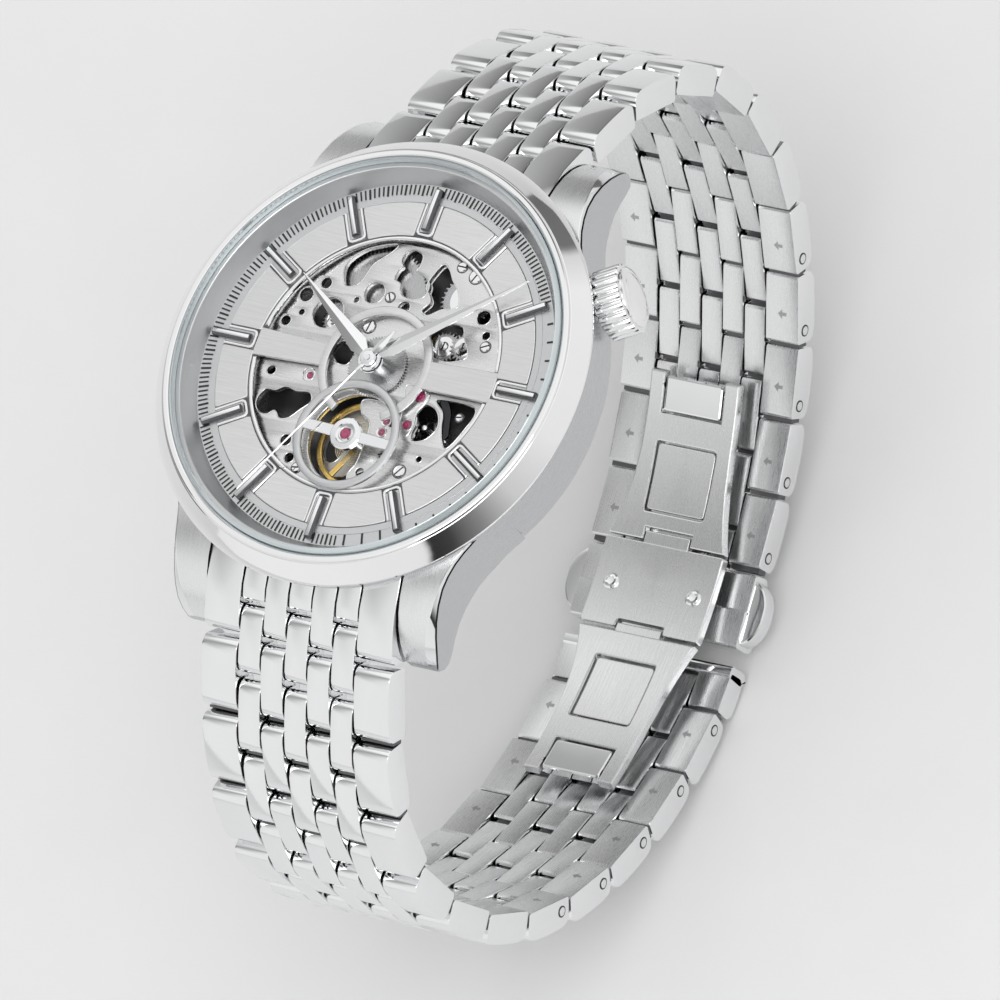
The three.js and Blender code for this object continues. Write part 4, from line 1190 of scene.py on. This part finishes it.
def balance():
    wheel = Piece("balance_gilt", "balance")
    at = shift(0, BALANCE_Y) @ spin(62)
    rim = [(3.6, -2.6), (4.02, -2.6), (4.1, -2.53), (4.1, -2.27), (4.02, -2.2), (3.68, -2.2), (3.6, -2.27)]
    wheel.add(turned(rim, 120), GOLD, at)
    wheel.add(flat([box(-3.7, 3.7, -0.28, 0.28)], -2.5, -2.3, 0.05), GOLD, at)
    arbor(wheel, 0, BALANCE_Y, -0.45, 0.22)
    wheel.add(turned([(0, -2.75), (0.7, -2.75), (0.7, -2.28), (0.6, -2.2), (0, -2.2)], 40), POLISH, at)
    wheel.finish(["balance_wheel"])
    spring = Piece("hairspring_coils", "balance")
    turns, steps = 9, 48
    inner, growth = 0.75, 1.4
    half = 0.025
    ring = []
    for k in range(turns * steps + 1):
        a = 2 * math.pi * k / steps
        ring.append((Vector((math.cos(a), math.sin(a), 0)), inner + growth * k / (turns * steps)))
    part = bmesh.new()
    rows = [[part.verts.new((*(d * (r + w)).xy, z)) for w, z in box(-half, half, -2.0, -1.88)] for d,
            r in ring]
    for a, b in zip(rows, rows[1:]):
        for i in range(4):
            j = (i + 1) % 4
            part.faces.new((a[i], a[j], b[j], b[i]))
    part.faces.new(rows[0])
    part.faces.new(rows[-1])
    spring.add(part, SPRING, shift(0, BALANCE_Y))
    spring.finish(["hairspring"])


def balance_bridge():
    piece = Piece("balance_bridge_polished", "watch_head")
    at = shift(0, BALANCE_Y) @ spin(-3)
    r = BALANCE_RING
    ring = [(r - 0.75, 0.08), (r, 0.08), (r, 0.32), (r - 0.1, 0.42), (r - 0.2, 0.45), (r - 0.55, 0.45),
            (r - 0.66, 0.42), (r - 0.75, 0.32)]
    piece.add(turned(ring, 200), TRACK, at)
    arm = [(-4.7, -0.48), (-1.2, -0.55), (-1.2, 0.55), (-4.7, 0.48)]
    for turn in (0, 180):
        piece.add(flat([arm], 0.1, 0.36, 0.06), POLISH, at @ spin(turn))
    hub = [(0.52, -0.35), (1.2, -0.35), (1.5, 0.0), (1.52, 0.42), (1.42, 0.5), (1.0, 0.52), (0.92, 0.44),
           (0.72, 0.4), (0.62, 0.5), (0.52, 0.46)]
    piece.add(turned(hub, 80), POLISH, at)
    stone = [(0, 0.1), (0.52, 0.1), (0.52, 0.42), (0.42, 0.52), (0.15, 0.54), (0, 0.5)]
    piece.add(turned(stone, 48), RUBY, at)
    piece.finish(["balance_bridge"])


def back_parts():
    holder = Piece("movement_holder_ring", "watch_head")
    # deep-set ring in the darker BRIDGE grey: painted shade
    holder.add(turned(box(13.3, 17.5, -5.6, -0.6), 120), BRIDGE)
    holder.finish(["movement_holder"])
    bridge = Piece("train_bridge_grained", "watch_head")
    openings = [circle(x, y, r, 32) for x, y, r in ((-7.5, -4.5, 2.2), (7.6, 5.2, 2.0), (0, 9.6, 1.6),
                                                    (0, 0, 0.35))]
    # deep train bridge in the darker BRIDGE grey so the openings above read dark: painted shade
    bridge.add(flat([circle(0, 0, 12.9, 120)] + openings, -4.9, -4.1, 0.1), BRIDGE)
    for x, y in ((6.0, -8.5), (-9.5, 3.5), (9.8, -1.5), (-2.5, 3.6)):
        bridge.add(turned([(0, -5.06), (0.6, -5.06), (0.66, -5.0), (0.66, -4.85), (0, -4.85)], 32), MIRROR,
                   shift(x, y))
    for x, y in (THIRD, ESCAPE, PALLET, (0, BALANCE_Y)):
        bridge.add(turned([(0, -4.95), (0.32, -4.95), (0.36, -4.9), (0.36, -4.85), (0, -4.85)], 32), RUBY,
                   shift(x, y))
    bridge.finish(["train_bridge"])
    rotor = Piece("rotor_weight", "rotor")
    rotor.add(flat([sector(3.0, 12.6, 180, 360, 60)], -5.9, -5.4, 0.08), WHEEL)
    rotor.add(flat([sector(10.6, 12.6, 180, 360, 60)], -6.6, -5.6, 0.15, 3), POLISH)
    rotor.add(turned([(0, -6.7), (1.05, -6.7), (1.2, -6.55), (1.2, -4.95), (0, -4.95)], 48), POLISH)
    rotor.add(turned(box(1.25, 3.1, -5.95, -5.4), 64), WHEEL)
    rotor.finish(["rotor"])
    back = Piece("case_back_ring", "watch_head")
    ring = [(14.2, -8.6), (18.1, -8.6), (18.3, -8.5), (19.4, -7.4), (19.4, -6.55), (17.6, -6.55),
            (17.6, -6.1), (16.4, -6.1), (16.4, -7.2), (15.3, -7.2), (15.3, -7.7), (14.2, -7.7)]
    # case back in the darker FLANK steel: painted shade
    back.add(turned(ring, 160), FLANK)
    # notches drawn as flat dark grey pieces: painted shade in place of their depth
    for k in range(6):
        notch = flat([rounded(box(17.2, 18.4, -0.8, 0.8), 0.2)], -8.595, -8.45, 0.02, 1)
        back.add(notch, SHADE, spin(60 * k + 30))
    back.finish(["case_back"])
    glass = Piece("back_glass", "watch_head")
    glass.add(turned([(0, -8.6), (14.0, -8.6), (14.15, -8.5), (14.15, -7.66), (15.2, -7.66), (15.2, -7.2),
                      (0, -7.2)], 120),
              CRYSTAL)
    glass.finish(["back_window"])


def keyless_parts():
    stem = Piece("winding_stem_turned", "crown")
    profile = [(0, 9.6), (0.38, 9.6), (0.45, 9.75), (0.45, 15), (0.36, 15.1), (0.36, 15.6), (0.45, 15.7),
               (0.45, 23.1), (0, 23.1)]
    stem.add(turned(profile, 32), POLISH, crown_place())
    stem.finish(["winding_stem"])
    lever = Piece("setting_lever_steel", "setting_lever")
    line = [(-0.9, -0.35), (0.2, -0.35), (0.2, 0.35), (-0.4, 0.35), (-0.4, 1.6), (-0.9, 1.6)]
    lever.add(flat([line], -2.6, -2.2, 0.05), DARK, spin(CROWN_TURN) @ shift(11, 0))
    lever.finish(["setting_lever"])


# ---- building ----------------------------------------------------------------------------------
for side in SIDES:
    end_link(side)
    for index in range(1, ROWS + 1):
        bracelet_row(side, index)
    clasp_frame(side)
    clasp_tongue(side)
clasp_centre()
clasp_last(12, "clasp_cover", 5.6)
clasp_last(6, "clasp_end_piece", 3.1)
case_middle()
bezel()
crystal()
crown()
minute_track()
dial()
hands()
main_plate()
wheels()
balance()
balance_bridge()
back_parts()
keyless_parts()


# ---- studio ------------------------------------------------------------------------------------
AIM = Vector((11.43, -7.05, -0.71)) * MM
CAMERA_DISTANCE = 1.7668
CAMERA_AZIMUTH = -26.3
CAMERA_ELEVATION = 55.2
CAMERA_ROLL = -47.1
LENS = 720
SENSOR_WIDTH = 36
FAR_CLIP = 20
FLOOR_GAP = 0.4 * MM
FLOOR_SIZE = 2.4


def direction(azimuth, elevation):
    """Unit vector from the object, angles in degrees."""
    a, e = math.radians(azimuth), math.radians(elevation)
    return Vector((math.cos(e) * math.cos(a), math.cos(e) * math.sin(a), math.sin(e)))


def camera():
    data = bpy.data.cameras.new("camera")
    data.lens = LENS
    data.sensor_width = SENSOR_WIDTH
    data.clip_end = FAR_CLIP
    thing = add_object("camera", data)
    toward = direction(CAMERA_AZIMUTH, CAMERA_ELEVATION)
    thing.location = AIM + toward * CAMERA_DISTANCE
    level = (-toward).to_track_quat("-Z", "Y")
    thing.rotation_mode = "QUATERNION"
    thing.rotation_quaternion = level @ Matrix.Rotation(math.radians(CAMERA_ROLL), 3, "Z").to_quaternion()
    bpy.context.scene.camera = thing


def floor():
    material = Nodes("floor_pale")
    speckle = material.noise(material.place((60, 60, 60)), detail=3)
    material.tint(speckle, (0.8, 0.8, 0.805), (0.84, 0.84, 0.84))
    material.roughness(speckle, 0.6, 0.75)
    part = bmesh.new()
    bmesh.ops.create_grid(part, x_segments=2, y_segments=2, size=FLOOR_SIZE)
    data = bpy.data.meshes.new("floor")
    part.to_mesh(data)
    part.free()
    data.materials.append(material.material)
    thing = add_object("floor", data)
    thing.location = (0, 0, cad_box[0][2] - FLOOR_GAP)


def soft_light(name, azimuth, elevation, distance, size, power):
    data = bpy.data.lights.new(name, "AREA")
    data.shape = "RECTANGLE"
    data.size, data.size_y = size
    data.energy = power
    thing = add_object(name, data)
    toward = direction(azimuth, elevation)
    thing.location = toward * distance
    thing.rotation_euler = toward.to_track_quat("Z", "Y").to_euler()


ROOM_STRENGTH = 0.93
RISE = [(0.0, 0.0), (0.55, 0.0), (0.7, 1.0)]
LOW_BANDS = [(-180, 0.5), (-178, 0.4), (-166, 0.06), (-162.5, 0.08), (-161.5, 0.9), (-130, 1.0), (-100, 0.98),
             (-68, 0.92),
             (-66.5, 0.03), (-57, 0.06), (-43, 0.28), (-27, 0.7), (0, 0.95), (60, 1.0), (72, 0.8), (75, 0.2),
             (100, 0.16), (130, 0.5), (160, 0.8), (180, 0.5)]
HIGH_BANDS = [(-180, 0.42), (-165, 0.5), (-130, 0.9), (-90, 1.08), (0, 1.1), (60, 1.1), (110, 1.15),
              (150, 1.1), (166, 0.72), (180, 0.42)]


def surroundings():
    """Bright white room with a few dark bands, given by azimuth round the object and by height."""
    world = bpy.data.worlds.new("studio")
    bpy.context.scene.world = world
    world.use_nodes = True
    room = Tree(world.node_tree)
    split, angle = room.polar("Generated")
    turn = room.add("ShaderNodeMapRange")
    turn.inputs["From Min"].default_value = -math.pi
    turn.inputs["From Max"].default_value = math.pi
    room.link(angle, turn.inputs["Value"])
    mix = room.add("ShaderNodeMix", data_type="RGBA")
    room.link(ramp(room, split["Z"], RISE), mix.inputs["Factor"])
    room.link(ramp(room, turn.outputs[0], LOW_BANDS, angles=True), mix.inputs["A"])
    room.link(ramp(room, turn.outputs[0], HIGH_BANDS, angles=True), mix.inputs["B"])
    backdrop = room.tree.nodes["Background"]
    room.link(mix.outputs["Result"], backdrop.inputs["Color"])
    backdrop.inputs["Strength"].default_value = ROOM_STRENGTH


def ramp(room, value, stops, angles=False):
    """Grey levels along a value, or along an angle mapped to 0..1."""
    node = room.add("ShaderNodeValToRGB")
    room.link(value, node.inputs[0])
    elements = node.color_ramp.elements
    while len(elements) > 1:
        elements.remove(elements[0])
    for k, (at, level) in enumerate(stops):
        where = (at + 180) / 360 if angles else at
        element = elements[0] if k == 0 else elements.new(where)
        element.position = where
        element.color = (level, level, level, 1)
    return node.outputs["Color"]


camera()
floor()
surroundings()
soft_light("key_light", azimuth=-40, elevation=60, distance=0.6, size=(0.45, 0.45), power=1.2)
bpy.context.scene.view_settings.view_transform = "Standard"
